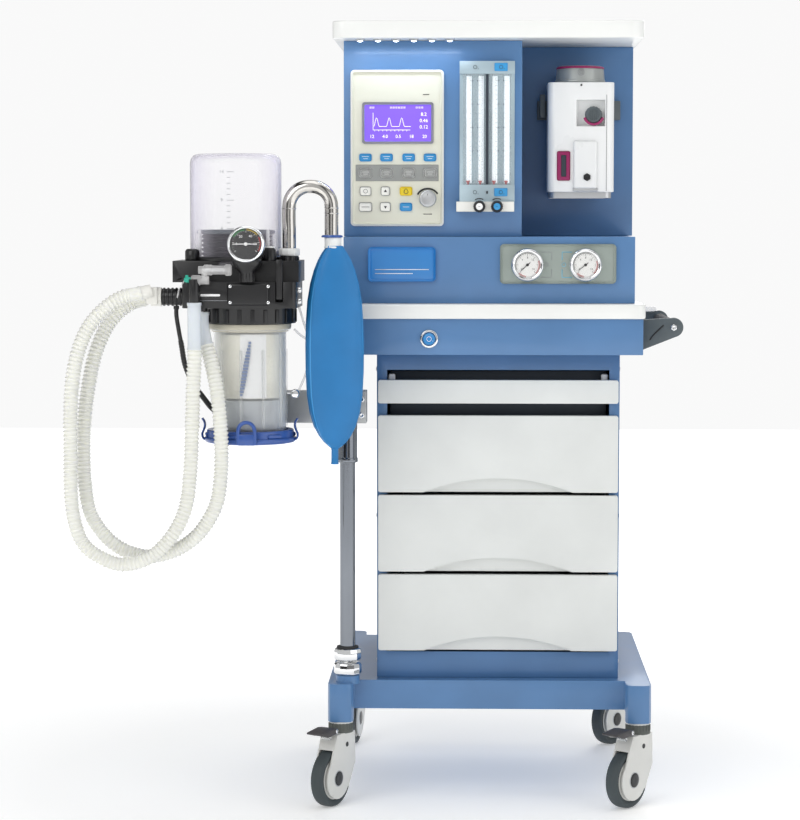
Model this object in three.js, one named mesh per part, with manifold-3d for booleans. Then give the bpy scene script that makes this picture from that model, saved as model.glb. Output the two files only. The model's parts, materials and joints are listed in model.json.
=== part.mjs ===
import * as THREE from "three";
import { mergeVertices } from "three/addons/utils/BufferGeometryUtils.js";
import Module from "manifold-3d";

// Anesthesia machine on four casters. Millimetres; X to the operator's right, Y to the rear, Z up.
// The base is centred on X = 0, Y = 0 while it is built; the finished group is moved onto its own box.

// ---- Driving dimensions ----
const gap = 0.3; // between two pieces that touch
const sheet = 2; // steel sheet of the housings
const past = 1; // how far a cutting solid reaches past the face it cuts, and one joined solid into the next

const base = {
  width: 565, depth: 600, top: 213, skirt: 51, barInset: 49, postSize: 44, postHeight: 67,
  postCorner: 12.76, wall: 3,
};
const caster = {
  wheelRadius: 50, treadWidth: 24, treadEdge: 6, treadDrop: 4, hubWidth: 18, hubInset: 6,
  coverWidth: 33, coverRadius: 36, trail: 34, wheelSide: 1.5, wheelRoom: 3, axleRadius: 5,
  axlePlay: 0.4, stemRadius: 6, stemLength: 30, stemPlay: 0.4, stemEnd: 2, collarRadius: 21,
  collarHeight: 20, crownBack: 20, neckBack: 22, neckRise: 22, heelBack: 33, heelDrop: 20,
  crownFront: 4,
};
const pedal = {
  length: 44, width: 34, hingeForward: 8, hingeRise: 8, heel: 6, drop: 5, sole: 7, tip: 2, top: 6,
  toe: 8,
};
// Each caster's heading, in degrees from +X.
const casterAngles = { front_left: 241, front_right: 232, rear_left: 262, rear_right: 232 };
const cabinet = {
  centreX: 14.5, width: 427, front: -222, depth: 440, stile: 18, plinth: 46, head: 29, headroom: 17.4,
};
const drawer = {
  sideInset: 2.65, height: 135.3, between: 5.4, lift: 3.7, thickness: 14, corner: 4, boxHeight: 96,
  boxDepth: 380, boxSink: 8, wall: 2.5, gripWidth: 261, gripHeight: 25, gripWall: 2.5, runnerRise: 37,
  stripHeight: 5, sideRoom: 2,
};
const tray = { height: 41, boxHeight: 26, rise: 21.6 };
const runner = { width: 14, height: 8, length: 380, setBack: 2, sideGap: 1 };
const lower = { width: 530, front: -282, depth: 520, height: 62.4 };
const worktop = { width: 538, front: -292, depth: 540, thickness: 25.6, corner: 14, rim: 20, board: 4 };
const gaugeBox = { centreX: -2, width: 508, front: -250, depth: 450, height: 116.2 };
const tower = { centreX: 1, width: 515, front: -47, depth: 247, height: 340.4 };
const control = { width: 311.5, front: -224 }; // left block, level with the tower's left side
const vent = { count: 6, first: 60, pitch: 16, width: 240, height: 6 };
const shelf = {
  centreX: -4.7, width: 537, front: -292, depth: 510, thickness: 30, corner: 22, roomInset: 8, board: 3,
};
// Rises are measured from the bottom of the housing that carries the piece.
const panel = { centreX: -163, rise: 153.9, width: 163, height: 272, thickness: 5, corner: 7 };
const display = { right: 1.2, up: 43.5, width: 125, height: 73, depth: 2 }; // from the panel's centre
const encoder = {
  right: 53.5, down: 88, radius: 15.5, height: 15, shaft: 3, shaftLength: 8, play: 0.5, markWidth: 1.6,
  markDepth: 0.8, markStart: 5, taper: 1,
};
const flow = {
  centreX: -6, width: 96, rise: 60.9, height: 243, capTop: 22, capBottom: 29, depth: 21, backPlate: 2.5,
  blockWidth: 39, blockGap: 6, blockSetBack: 1, tubePitch: 21, boreRadius: 4, floatRadius: 3.2,
  floatHeight: 7, baseWidth: 101, baseHeight: 18, baseLeft: 3, baseProud: 5, knobRadius: 10.5,
  knobLength: 20, knobPitch: 30.6, knobRight: 2, knobTaper: 0.6, shaft: 3, shaftLength: 9,
  shaftPlay: 0.5, notchWidth: 1.4, notchDepth: 0.8, notchStart: 5, notchEnd: 12,
};
const vaporizer = {
  centreX: 160, width: 117, rise: 77.9, height: 193, front: -175, depth: 112, corner: 14,
  spindleRadius: 12, spindleRise: 12, spindlePlay: 0.6, dialRadius: 45, dialHeight: 30, dialTaper: 3,
};
const filler = {
  right: 22, rise: 136, radius: 15, length: 16, taper: 1, recessWidth: 50, recessLeft: 5,
  recessDepth: 16, recessDown: 20, recessUp: 26, pin: 4, pinLength: 8, play: 0.5, backRoom: 0.5,
};
const mount = {
  width: 150, down: 62, height: 34, leverLeft: 66, leverWidth: 10, leverReach: 40, leverUp: 2,
  leverTop: 18,
};
const gauge = {
  centreX: 114.8, rise: 67.4, radius: 28.7, spacing: 100.6, depth: 24, rim: 5, faceDepth: 2.5,
  taper: 1.5,
};
const flush = {
  x: -106, rise: 28, radius: 10.5, play: 0.6, collarRadius: 15.6, collarProud: 5, proud: 4, travel: 4,
  length: 19, stopWidth: 29, stopThick: 3, stopTop: 6,
};
// boss angles in half-turns
const handle = {
  barRadius: 11, barLength: 380, standOff: 58, rise: 45, plate: 12, first: -205, footLift: 4,
  footHeight: 54.4, bossRadius: 17, bossFrom: 0.58, bossTo: -0.42,
};
const pole = {
  inset: 16, y: -266, radius: 13.4, nutRadius: 24.8, nutHeight: 49, nutGap: 3, boss: 12, bossInset: 4,
};
const arm = {
  sleeveWall: 2.9, sleeveBottom: 600, sleeveDrop: 9, clampWidth: 68, clampDepth: 44, bottom: 670,
  height: 56, thickness: 26, plateWidth: 64, plateThickness: 10, plateDrop: 4,
};
const absorber = {
  x: -410.5, y: -362, blockLeft: -518, blockRight: -325, frontPast: 5.5, backInset: 4.5,
  blockBottom: 875, blockHeight: 44, blockCorner: 10, deckLeft: -536, deckHeight: 35, deckPast: 2,
  deckInset: 4, ringHeight: 27, tongueWidth: 50, tongueInset: 6, plateBehind: 1,
};
const canister = {
  radius: 62, bottom: 661, footInset: 4, footRise: 8, lip: 8, lipHeight: 10, lipSlope: 4,
  ringClearance: 8.5,
};
const lock = {
  band: 16.7, height: 23, overlap: 5, seatPlay: 1, archHalf: 17, archRise: 4, archFoot: 2, archOut: 7,
  archIn: 3, openHalf: 11, openRise: 3, openDrop: 8, openWall: 2, fingerHalf: 10, fingerLow: 0.5,
  fingerHigh: 8,
};
const dome = {
  x: -435.2, y: -345, radius: 78, height: 181, wall: 3, shoulder: 12, crown: 4, sink: 8, wellPlay: 0.4,
  coreInset: 1,
};
const bellows = {
  radius: 62, height: 44, folds: 3, foldDepth: 4, bore: 7, stem: 6, stemDrop: 8, plate: 8, plateLip: 5,
};
const airway = {
  x: -407.7, forward: 26, rise: 64.5, radius: 31.7, depth: 26, tilt: 14, rim: 4, faceDepth: 3,
  backInset: 9, backLength: 8, stemRadius: 11, stemBack: 2, stemDown: 8, roomFront: 5,
};
const apl = { x: -342, y: -376, radius: 16, rise: 8, nutRadius: 18.2, nutHeight: 12 };
const bagTube = { radius: 11.8, rise: 116.7, drop: 82, reach: 72, bend: 34 };
const bag = {
  right: 5, width: 111.7, depth: 58, height: 341, edge: 8, bulgeWidth: 0.82, bulgeHeight: 0.94,
  cuffRadius: 14, cuffLength: 22, tailRadius: 6, tailLength: 27, sink: 4,
};
const release = {
  x: -354, width: 11, height: 58, reach: 9, pivotZ: 893, pivotBack: 8, pivotRadius: 6, neck: 4,
  neckRise: 10, backRise: 12, hookUp: 6, hookDown: 10, roomHalf: 6.5, roomDepth: 18, roomDrop: 34,
};
const port = {
  front: [-495, -461], rear: [-486, -420], radius: 9, frontTop: 924, frontBottom: 886, rearBottom: 869,
  inset: 4,
};
const stub = { left: -556, y: -402, z: 893, radius: 14, inset: 8 };
const yPiece = {
  socket: 18, lip: 2, body: 24, bodyStart: 6, width: 40, height: 28, up: 2, legLength: 18, legInset: 2,
};
const hoseRadius = 13;
const cableRadius = 5;

// The breathing circuit. Each route is a hand-laid list of points along a hose's centre line.
const frontRoute = [
  [-589, -425, 900], [-617, -432, 894], [-642, -440, 879], [-672, -448, 847], [-692, -452, 802],
  [-702, -455, 747], [-705, -458, 637], [-701, -462, 528], [-683, -466, 479], [-650, -470, 455],
  [-620, -472, 446], [-589, -472, 450], [-562, -471, 464], [-541, -469, 485], [-523, -467, 512],
  [-510, -465, 546], [-503, -463, 604], [-500, -461, 672], [-498, -460, 738], [-495, -461, 800],
  [-495, -461, 885],
];
const rearRoute = [
  [-589, -379, 888], [-614, -388, 879], [-642, -400, 854], [-666, -408, 806], [-683, -413, 727],
  [-689, -417, 651], [-687, -421, 583], [-678, -425, 529], [-660, -427, 498], [-637, -429, 475],
  [-610, -431, 461], [-581, -433, 455], [-553, -436, 458], [-524, -439, 470], [-496, -443, 490],
  [-475, -446, 517], [-460, -449, 549], [-453, -451, 594], [-452, -452, 658], [-455, -451, 703],
  [-461, -444, 746], [-470, -434, 784], [-480, -425, 818], [-486, -420, 848], [-486, -420, 868],
];
const cableRoute = [
  [-532, -400, 878], [-532, -400, 862], [-529, -396, 838], [-525, -388, 810], [-520, -380, 776],
  [-508, -368, 745], [-492, -348, 718], [-480, -322, 698], [-471, -300, 690], [-460, -285, 688],
  [-452, -279, 688], [-443, -278, 688],
];

// ---- Finishes ----
const finish = (color, roughness, metalness, opacity = 1) =>
  new THREE.MeshStandardMaterial({ color, roughness, metalness, opacity, transparent: opacity < 1 });
const paint = finish(0x4e7ab0, 0.35, 0.1);
const ivory = finish(0xf0f1ee, 0.4, 0);
const cream = finish(0xe2e2d6, 0.5, 0);
const chrome = finish(0xd8dadd, 0.12, 1);
const steel = finish(0xb4b8bb, 0.3, 0.9);
const black = finish(0x1a1a1c, 0.35, 0);
const clear = finish(0xe8e6ee, 0.05, 0, 0.35);
const slate = finish(0x5a6468, 0.5, 0.1);
const blue = finish(0x3a62a4, 0.35, 0);
const red = finish(0xc8281e, 0.4, 0);
const rubberBlue = finish(0x2876b4, 0.55, 0);
const milky = finish(0xe8e8de, 0.4, 0, 0.85);
const tyre = finish(0x4b5558, 0.7, 0);
const frameGrey = finish(0xaebec3, 0.4, 0);

// ---- Solids ----
const wasm = await Module();
wasm.setup();

function solid(geometry) {
  const plain = geometry.clone();
  plain.deleteAttribute("normal");
  plain.deleteAttribute("uv");
  const merged = mergeVertices(plain, 1e-4);
  return new wasm.Manifold(new wasm.Mesh({
    numProp: 3,
    vertProperties: merged.attributes.position.array,
    triVerts: new Uint32Array(merged.index.array),
  }));
}

const join = (...parts) => parts.reduce((whole, part) => whole.add(part));
const cut = (whole, ...tools) => tools.reduce((rest, tool) => rest.subtract(tool), whole);

// A box from its low and high values along each axis.
function block(x, y, z) {
  const shape = new THREE.BoxGeometry(x[1] - x[0], y[1] - y[0], z[1] - z[0]);
  return solid(shape.translate((x[0] + x[1]) / 2, (y[0] + y[1]) / 2, (z[0] + z[1]) / 2));
}

// A round bar from z[0] to z[1] about a vertical line.
function post(x, y, z, radius, sides = 20, topRadius = radius) {
  const shape = new THREE.CylinderGeometry(topRadius, radius, z[1] - z[0], sides);
  return solid(shape.rotateX(Math.PI / 2).translate(x, y, (z[0] + z[1]) / 2));
}

// A round bar lying along Y, from y[0] to y[1].
function rod(x, y, z, radius, sides = 20, backRadius = radius) {
  const shape = new THREE.CylinderGeometry(backRadius, radius, y[1] - y[0], sides);
  return solid(shape.translate(x, (y[0] + y[1]) / 2, z));
}

// A round bar lying along X, from x[0] to x[1].
function bar(x, y, z, radius, sides = 16) {
  const shape = new THREE.CylinderGeometry(radius, radius, x[1] - x[0], sides);
  return solid(shape.rotateZ(-Math.PI / 2).translate((x[0] + x[1]) / 2, y, z));
}

// A turned piece: its profile is a list of [radius, height] that starts and ends on the axis.
function turned(profile, sides = 24) {
  const points = profile.map(([radius, height]) => new THREE.Vector2(radius, height));
  return solid(new THREE.LatheGeometry(points, sides).rotateX(Math.PI / 2));
}

function roundedShape(width, height, radius) {
  const [w, h] = [width / 2, height / 2];
  const shape = new THREE.Shape();
  shape.absarc(w - radius, h - radius, radius, 0, Math.PI / 2);
  shape.absarc(radius - w, h - radius, radius, Math.PI / 2, Math.PI);
  shape.absarc(radius - w, radius - h, radius, Math.PI, Math.PI * 1.5);
  shape.absarc(w - radius, radius - h, radius, Math.PI * 1.5, Math.PI * 2);
  return shape;
}

// A shape drawn in plan, raised from z[0] to z[1].
function raised(shape, z, curveSegments = 4) {
  const body = new THREE.ExtrudeGeometry(shape, { depth: z[1] - z[0], bevelEnabled: false, curveSegments });
  return solid(body.translate(0, 0, z[0]));
}

// A shape drawn as seen from the front, from y[0] (front) to y[1] (back).
function upright(shape, y, curveSegments = 4) {
  const body = new THREE.ExtrudeGeometry(shape, { depth: y[1] - y[0], bevelEnabled: false, curveSegments });
  return solid(body.rotateX(Math.PI / 2).translate(0, y[1], 0));
}

// A round bar that follows a curve.
function tubeAlong(curve, radius, sides, steps) {
  const ring = new THREE.Shape();
  for (let i = 0; i < sides; i++) {
    const turn = (i * 2 * Math.PI) / sides;
    const point = [radius * Math.cos(turn), radius * Math.sin(turn)];
    if (i) ring.lineTo(...point);
    else ring.moveTo(...point);
  }
  return solid(new THREE.ExtrudeGeometry(ring, { steps, extrudePath: curve, bevelEnabled: false }));
}

// A sheet-metal box that is open on its rear side.
function housing(x, y, z, wall) {
  const inside = block([x[0] + wall, x[1] - wall], [y[0] + wall, y[1] + past], [z[0] + wall, z[1] - wall]);
  return cut(block(x, y, z), inside);
}

// Low and high values of a width about its centre.
const span = (centre, width) => [centre - width / 2, centre + width / 2];

// ---- The machine ----
const machine = new THREE.Group();

function add(name, shape, material) {
  const { vertProperties, triVerts } = shape.getMesh();
  const geometry = new THREE.BufferGeometry();
  geometry.setAttribute("position", new THREE.BufferAttribute(vertProperties, 3));
  geometry.setIndex(new THREE.BufferAttribute(triVerts, 1));
  geometry.computeVertexNormals();
  const mesh = new THREE.Mesh(geometry, material);
  mesh.name = name;
  machine.add(mesh);
  return mesh;
}

// ---- Levels and faces that several pieces share ----
const drawerPitch = drawer.height + drawer.between;
const frontWidth = cabinet.width - 2 * drawer.sideInset;
const cabinetBottom = base.top + gap;
const drawerBottom = (i) => cabinetBottom + cabinet.plinth + drawer.lift + i * drawerPitch;
const trayBottom = drawerBottom(2) + drawer.height + tray.rise;
const cabinetTop = trayBottom + tray.height + cabinet.headroom + cabinet.head;
const lowerBottom = cabinetTop + gap;
const worktopBottom = lowerBottom + lower.height + gap;
const gaugeBottom = worktopBottom + worktop.thickness + gap;
const towerBottom = gaugeBottom + gaugeBox.height + gap;
const shelfBottom = towerBottom + tower.height + gap;
const cabinetX = span(cabinet.centreX, cabinet.width);
const towerX = span(tower.centreX, tower.width);
const controlX = [towerX[0], towerX[0] + control.width];
const towerBack = tower.front + tower.depth;
const poleX = pole.inset - lower.width / 2;
const sleeveTop = lowerBottom - arm.sleeveDrop;
const sleeveRadius = pole.radius + gap + arm.sleeveWall;
// The absorber block is as deep as the collar that takes the canister, and the arm's plate stands behind it.
const collarRadius = canister.radius + canister.lip + canister.ringClearance;
const blockY = [
  absorber.y - collarRadius - absorber.frontPast,
  absorber.y + collarRadius - absorber.backInset,
];
const plateFront = absorber.y + collarRadius + absorber.plateBehind;
const blockTop = absorber.blockBottom + absorber.blockHeight;
const deckTop = blockTop + absorber.deckHeight;
const tubeFoot = deckTop + apl.rise + gap;
const bagTop = tubeFoot + bagTube.rise - bagTube.drop - bag.cuffLength;
// Runner tops, from the lowest drawer up. A drawer's side strip rides on its runner.
const drawerLevels = [0, 1, 2].map((i) => drawerBottom(i) + drawer.runnerRise);
const trayLevel = trayBottom + tray.height / 2;

// The base: a plate with a skirt on all sides, and four corner posts drilled for the caster stems.
function addBase() {
  const halfX = base.width / 2;
  const halfY = base.depth / 2;
  const barY = halfY - base.barInset;
  const postX = halfX - base.postSize / 2;
  const postY = halfY - base.postSize / 2;
  const skirtBottom = base.top - base.skirt;
  const roomZ = [skirtBottom - past, base.top - base.wall];
  let frame = join(
    block([-halfX, halfX], [-barY, barY], [skirtBottom, base.top]),
    block([-halfX, -halfX + base.postSize], [-postY, postY], [skirtBottom, base.top]),
    block([halfX - base.postSize, halfX], [-postY, postY], [skirtBottom, base.top]),
  );
  const inner = halfX - base.postSize - base.wall;
  frame = cut(frame, block([-inner, inner], [base.wall - barY, barY - base.wall], roomZ));
  const side = [halfX - base.postSize + base.wall, halfX - base.wall];
  const reach = postY - base.postSize / 2;
  for (const x of [side, [-side[1], -side[0]]]) frame = cut(frame, block(x, [-reach, reach], roomZ));
  const postBottom = base.top - base.postHeight;
  const corner = roundedShape(base.postSize, base.postSize, base.postCorner);
  for (const x of [-postX, postX]) {
    for (const y of [-postY, postY]) {
      const foot = raised(corner, [postBottom, base.top], 1).translate([x, y, 0]);
      const hole = post(x, y, [0, postBottom + caster.stemLength], caster.stemRadius + caster.stemPlay, 12);
      frame = cut(join(frame, foot), hole);
    }
  }
  const bossZ = [base.top - base.wall, base.top + pole.boss];
  add("base_frame", join(frame, post(poleX, pole.y, bossZ, pole.nutRadius - pole.bossInset, 20)), paint);
}

// One caster: a fork that swivels on its stem, a wheel and a brake pedal, turned to its own angle.
function addCaster(place, sideX, sideY) {
  const x = sideX * (base.width / 2 - base.postSize / 2);
  const y = sideY * (base.depth / 2 - base.postSize / 2);
  const top = base.top - base.postHeight - gap;
  const axle = caster.wheelRadius;
  const r = caster.wheelRadius;
  const half = caster.coverWidth / 2;
  const tread = caster.treadWidth / 2;
  const crownTop = top - caster.collarHeight + past;
  const stem = post(0, 0, [top - 4 * past, top + caster.stemLength - caster.stemEnd], caster.stemRadius, 12);
  const collar = post(0, 0, [top - caster.collarHeight, top], caster.collarRadius, 20);
  // The fork's side outline, drawn with the trail along X and rounded about the axle.
  const outline = new THREE.Shape();
  outline.moveTo(-caster.crownBack, crownTop);
  outline.lineTo(-caster.neckBack, axle + caster.neckRise);
  outline.lineTo(caster.trail - caster.heelBack, axle - caster.heelDrop);
  outline.absarc(caster.trail, axle, caster.coverRadius, Math.PI * 1.17, Math.PI * 2.25);
  outline.lineTo(caster.trail + caster.crownFront, crownTop);
  const slot = tread + caster.wheelSide;
  const wheelRoom = rod(caster.trail, [-slot, slot], axle, r + caster.wheelRoom, 24);
  const axlePin = rod(caster.trail, [past - half, half - past], axle, caster.axleRadius, 12);
  const fork = join(cut(join(stem, collar, upright(outline, [-half, half], 7)), wheelRoom), axlePin);
  const hub = caster.hubWidth / 2;
  const wheelShape = [
    [0, -hub], [r - caster.hubInset, -hub], [r - caster.treadDrop, -tread], [r, -caster.treadEdge],
    [r, caster.treadEdge], [r - caster.treadDrop, tread], [r - caster.hubInset, hub], [0, hub],
  ];
  const disc = turned(wheelShape, 28).rotate([90, 0, 0]);
  const bore = rod(0, [-half, half], 0, caster.axleRadius + caster.axlePlay, 12);
  const wheel = cut(disc, bore).translate([caster.trail, 0, axle]);
  // The pedal is hinged on the fork's crown and reaches out past the wheel.
  const wing = new THREE.Shape();
  wing.moveTo(-pedal.heel, -pedal.drop);
  wing.lineTo(pedal.length / 2, -pedal.sole);
  wing.lineTo(pedal.length, -1);
  wing.lineTo(pedal.length, pedal.tip);
  wing.lineTo(pedal.toe, pedal.top);
  wing.lineTo(-pedal.heel, pedal.top - pedal.tip);
  const hinge = [caster.trail + pedal.hingeForward, 0, crownTop + pedal.hingeRise];
  const names = {
    fork: [fork, ivory],
    wheel: [wheel, tyre],
    pedal: [upright(wing, span(0, pedal.width)).translate(hinge), black],
  };
  const turn = [0, 0, casterAngles[place]];
  for (const [piece, [shape, material]] of Object.entries(names)) {
    add(`caster_${place}_${piece}`, shape.rotate(turn).translate([x, y, 0]), material);
  }
}

// The cabinet: a shell open at the front, with front stiles and a runner ledge for each drawer and the tray.
function addCabinet() {
  const [left, right] = cabinetX;
  const back = cabinet.front + cabinet.depth;
  const inner = [left + sheet, right - sheet];
  const opening = [left + cabinet.stile, right - cabinet.stile];
  const faceY = [cabinet.front - past, cabinet.front + sheet + past];
  let shell = cut(
    block([left, right], [cabinet.front, back], [cabinetBottom, cabinetTop]),
    block(inner, [cabinet.front + sheet, back - sheet], [cabinetBottom + sheet, cabinetTop - sheet]),
    block(opening, faceY, [cabinetBottom + cabinet.plinth, cabinetTop - cabinet.head]),
  );
  const first = cabinet.front + sheet + runner.setBack;
  for (const level of [...drawerLevels, trayLevel]) {
    const ledges = [
      [left + runner.sideGap, opening[0] + runner.width],
      [opening[1] - runner.width, right - runner.sideGap],
    ];
    for (const x of ledges) {
      shell = join(shell, block(x, [first, first + runner.length], [level - runner.height, level]));
    }
  }
  add("cabinet_shell", shell, paint);
}

// A drawer front with its open box behind it. The side strips rest on the cabinet's runners.
function drawerBody(bottom, height, boxHeight, level) {
  const faceY = [cabinet.front - gap - drawer.thickness, cabinet.front - gap];
  const face = upright(roundedShape(frontWidth, height, drawer.corner), faceY);
  const front = face.translate([cabinet.centreX, 0, bottom + height / 2]);
  const outer = cabinet.width - 2 * (cabinet.stile + drawer.sideRoom);
  const narrow = outer - 2 * runner.width;
  const low = Math.max(bottom + drawer.sideRoom, level - boxHeight + drawer.boxSink);
  const depth = [faceY[1] - past, cabinet.front + sheet + drawer.boxDepth];
  const box = block(span(cabinet.centreX, narrow), depth, [low, low + boxHeight]);
  const strips = block(span(cabinet.centreX, outer), depth, [level + gap, level + gap + drawer.stripHeight]);
  const room = block(
    span(cabinet.centreX, narrow - 2 * drawer.wall),
    [faceY[1], depth[1] - drawer.wall],
    [low + drawer.wall, bottom + height + boxHeight],
  );
  return cut(join(front, box, strips), room);
}

// The three drawers, each with an arched finger recess along its lower edge, and the tray above them.
function addDrawers() {
  const grip = new THREE.Shape();
  const w = drawer.gripWidth / 2;
  const h = drawer.gripHeight;
  const r = (w * w + h * h) / (2 * h);
  const end = Math.asin((r - h) / r);
  grip.moveTo(-w, -past);
  grip.lineTo(-w, 0);
  grip.absarc(0, h - r, r, Math.PI - end, end, true);
  grip.lineTo(w, -past);
  const front = cabinet.front - gap - drawer.thickness;
  const recess = upright(grip, [front - past, front + drawer.thickness - drawer.gripWall], 12);
  ["lower", "middle", "upper"].forEach((place, i) => {
    const whole = drawerBody(drawerBottom(i), drawer.height, drawer.boxHeight, drawerLevels[i]);
    add(`drawer_${place}`, cut(whole, recess.translate([cabinet.centreX, 0, drawerBottom(i)])), ivory);
  });
  add("tray", drawerBody(trayBottom, tray.height, tray.boxHeight, trayLevel), ivory);
}

// The lower housing with its oxygen flush seat, the worktop, the gauge housing, the tower and the top shelf.
function addHousings() {
  const lowerX = span(0, lower.width);
  const lowerY = [lower.front, lower.front + lower.depth];
  const lowerTop = lowerBottom + lower.height;
  const flushZ = lowerBottom + flush.rise;
  const collarY = [lower.front - flush.collarProud, lower.front + sheet];
  const collar = rod(flush.x, collarY, flushZ, flush.collarRadius, 24);
  const holeY = [collarY[0] - past, collarY[1] + past];
  const hole = rod(flush.x, holeY, flushZ, flush.radius + flush.play, 20);
  const stopFront = lower.front - flush.collarProud + flush.length;
  const stopZ = [lowerBottom + past, lowerTop - flush.stopTop];
  const stop = block(span(flush.x, flush.stopWidth), [stopFront, stopFront + flush.stopThick], stopZ);
  const room = block(
    [lowerX[0] + sheet, lowerX[1] - sheet],
    [lowerY[0] + sheet, lowerY[1] - sheet],
    [lowerBottom + sheet, lowerTop + past],
  );
  const lowerBox = cut(block(lowerX, lowerY, [lowerBottom, lowerTop]), room);
  add("lower_housing", join(cut(join(lowerBox, collar), hole), stop), paint);

  const boardTop = worktopBottom + worktop.thickness;
  const boardShape = roundedShape(worktop.width, worktop.depth, worktop.corner);
  const board = raised(boardShape, [worktopBottom, boardTop]);
  const underside = block(
    span(0, worktop.width - 2 * worktop.rim),
    [worktop.front + worktop.rim, worktop.front + worktop.depth - worktop.rim],
    [worktopBottom - past, boardTop - worktop.board],
  );
  add("worktop", cut(board.translate([0, worktop.front + worktop.depth / 2, 0]), underside), ivory);

  const gaugeX = span(gaugeBox.centreX, gaugeBox.width);
  const gaugeY = [gaugeBox.front, gaugeBox.front + gaugeBox.depth];
  add("gauge_housing", housing(gaugeX, gaugeY, [gaugeBottom, gaugeBottom + gaugeBox.height], sheet), paint);

  const towerZ = [towerBottom, towerBottom + tower.height];
  add("tower_housing", housing(towerX, [tower.front, towerBack], towerZ, sheet), paint);
  add("control_housing", housing(controlX, [control.front, tower.front - gap], towerZ, sheet), paint);

  const coverX = [Math.min(towerX[0], gaugeX[0]), Math.max(towerX[1], gaugeX[1])];
  const coverFront = Math.max(towerBack, gaugeY[1]) + gap;
  let cover = block(coverX, [coverFront, coverFront + sheet], [gaugeBottom, towerZ[1]]);
  for (let i = 0; i < vent.count; i++) {
    const low = towerZ[1] - vent.first - i * vent.pitch;
    const slotY = [coverFront - past, coverFront + sheet + past];
    cover = cut(cover, block(span(0, vent.width), slotY, [low, low + vent.height]));
  }
  add("rear_cover", cover, paint);

  const lidY = shelf.front + shelf.depth / 2;
  const lidShape = roundedShape(shelf.width, shelf.depth, shelf.corner);
  const lid = raised(lidShape, [shelfBottom, shelfBottom + shelf.thickness], 5);
  // The shelf is hollow only where the housings below close it.
  const roomZ = [shelfBottom - past, shelfBottom + shelf.thickness - shelf.board];
  const inset = (x) => [x[0] + shelf.roomInset, x[1] - shelf.roomInset];
  const overTower = block(inset(towerX), inset([tower.front, towerBack]), roomZ);
  const overControl = block(
    inset(controlX),
    [control.front + shelf.roomInset, tower.front + shelf.roomInset + past],
    roomZ,
  );
  add("top_shelf", cut(lid.translate([shelf.centreX, lidY, 0]), overTower, overControl), ivory);
}

// The side grab handle: two cast brackets on the lower housing and a bar between them, in one piece.
function addHandle() {
  const wallX = lower.width / 2 + gap;
  const barX = wallX + handle.standOff;
  const barZ = lowerBottom + handle.rise;
  const y = [handle.first, handle.first + handle.barLength];
  let grab = rod(barX, y, barZ, handle.barRadius, 20);
  for (const near of [y[0], y[1] - handle.plate]) {
    const bracket = new THREE.Shape();
    bracket.moveTo(wallX, lowerBottom + handle.footLift);
    bracket.lineTo(wallX, lowerBottom + handle.footLift + handle.footHeight);
    bracket.absarc(barX, barZ, handle.bossRadius, Math.PI * handle.bossFrom, Math.PI * handle.bossTo, true);
    grab = join(grab, upright(bracket, [near, near + handle.plate], 10));
  }
  add("side_handle", grab, slate);
}

// The membrane panel with the display window, and the encoder knob on its shaft.
function addPanel() {
  const plateY = [control.front - gap - panel.thickness, control.front - gap];
  const centreZ = towerBottom + panel.rise;
  const plate = upright(roundedShape(panel.width, panel.height, panel.corner), plateY);
  const windowX = span(panel.centreX + display.right, display.width);
  const windowZ = span(centreZ + display.up, display.height);
  const window = block(windowX, [plateY[0] - past, plateY[0] + display.depth], windowZ);
  const e = encoder;
  const knobX = panel.centreX + e.right;
  const knobZ = centreZ - e.down;
  const shaft = rod(knobX, [plateY[0] - e.shaftLength, plateY[0] + past], knobZ, e.shaft, 12);
  add("control_panel", join(cut(plate.translate([panel.centreX, 0, centreZ]), window), shaft), cream);
  const knobY = [plateY[0] - gap - e.height, plateY[0] - gap];
  const knob = rod(knobX, knobY, knobZ, e.radius - e.taper, 28, e.radius);
  const boreY = [plateY[0] - e.shaftLength - e.play, plateY[0] + past];
  const bore = rod(knobX, boreY, knobZ, e.shaft + e.play, 12);
  const markZ = [knobZ + e.markStart, knobZ + e.radius + past];
  const mark = block(span(knobX, e.markWidth), [knobY[0] - past, knobY[0] + e.markDepth], markZ);
  add("encoder_knob", cut(knob, bore, mark), steel);
}

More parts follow.
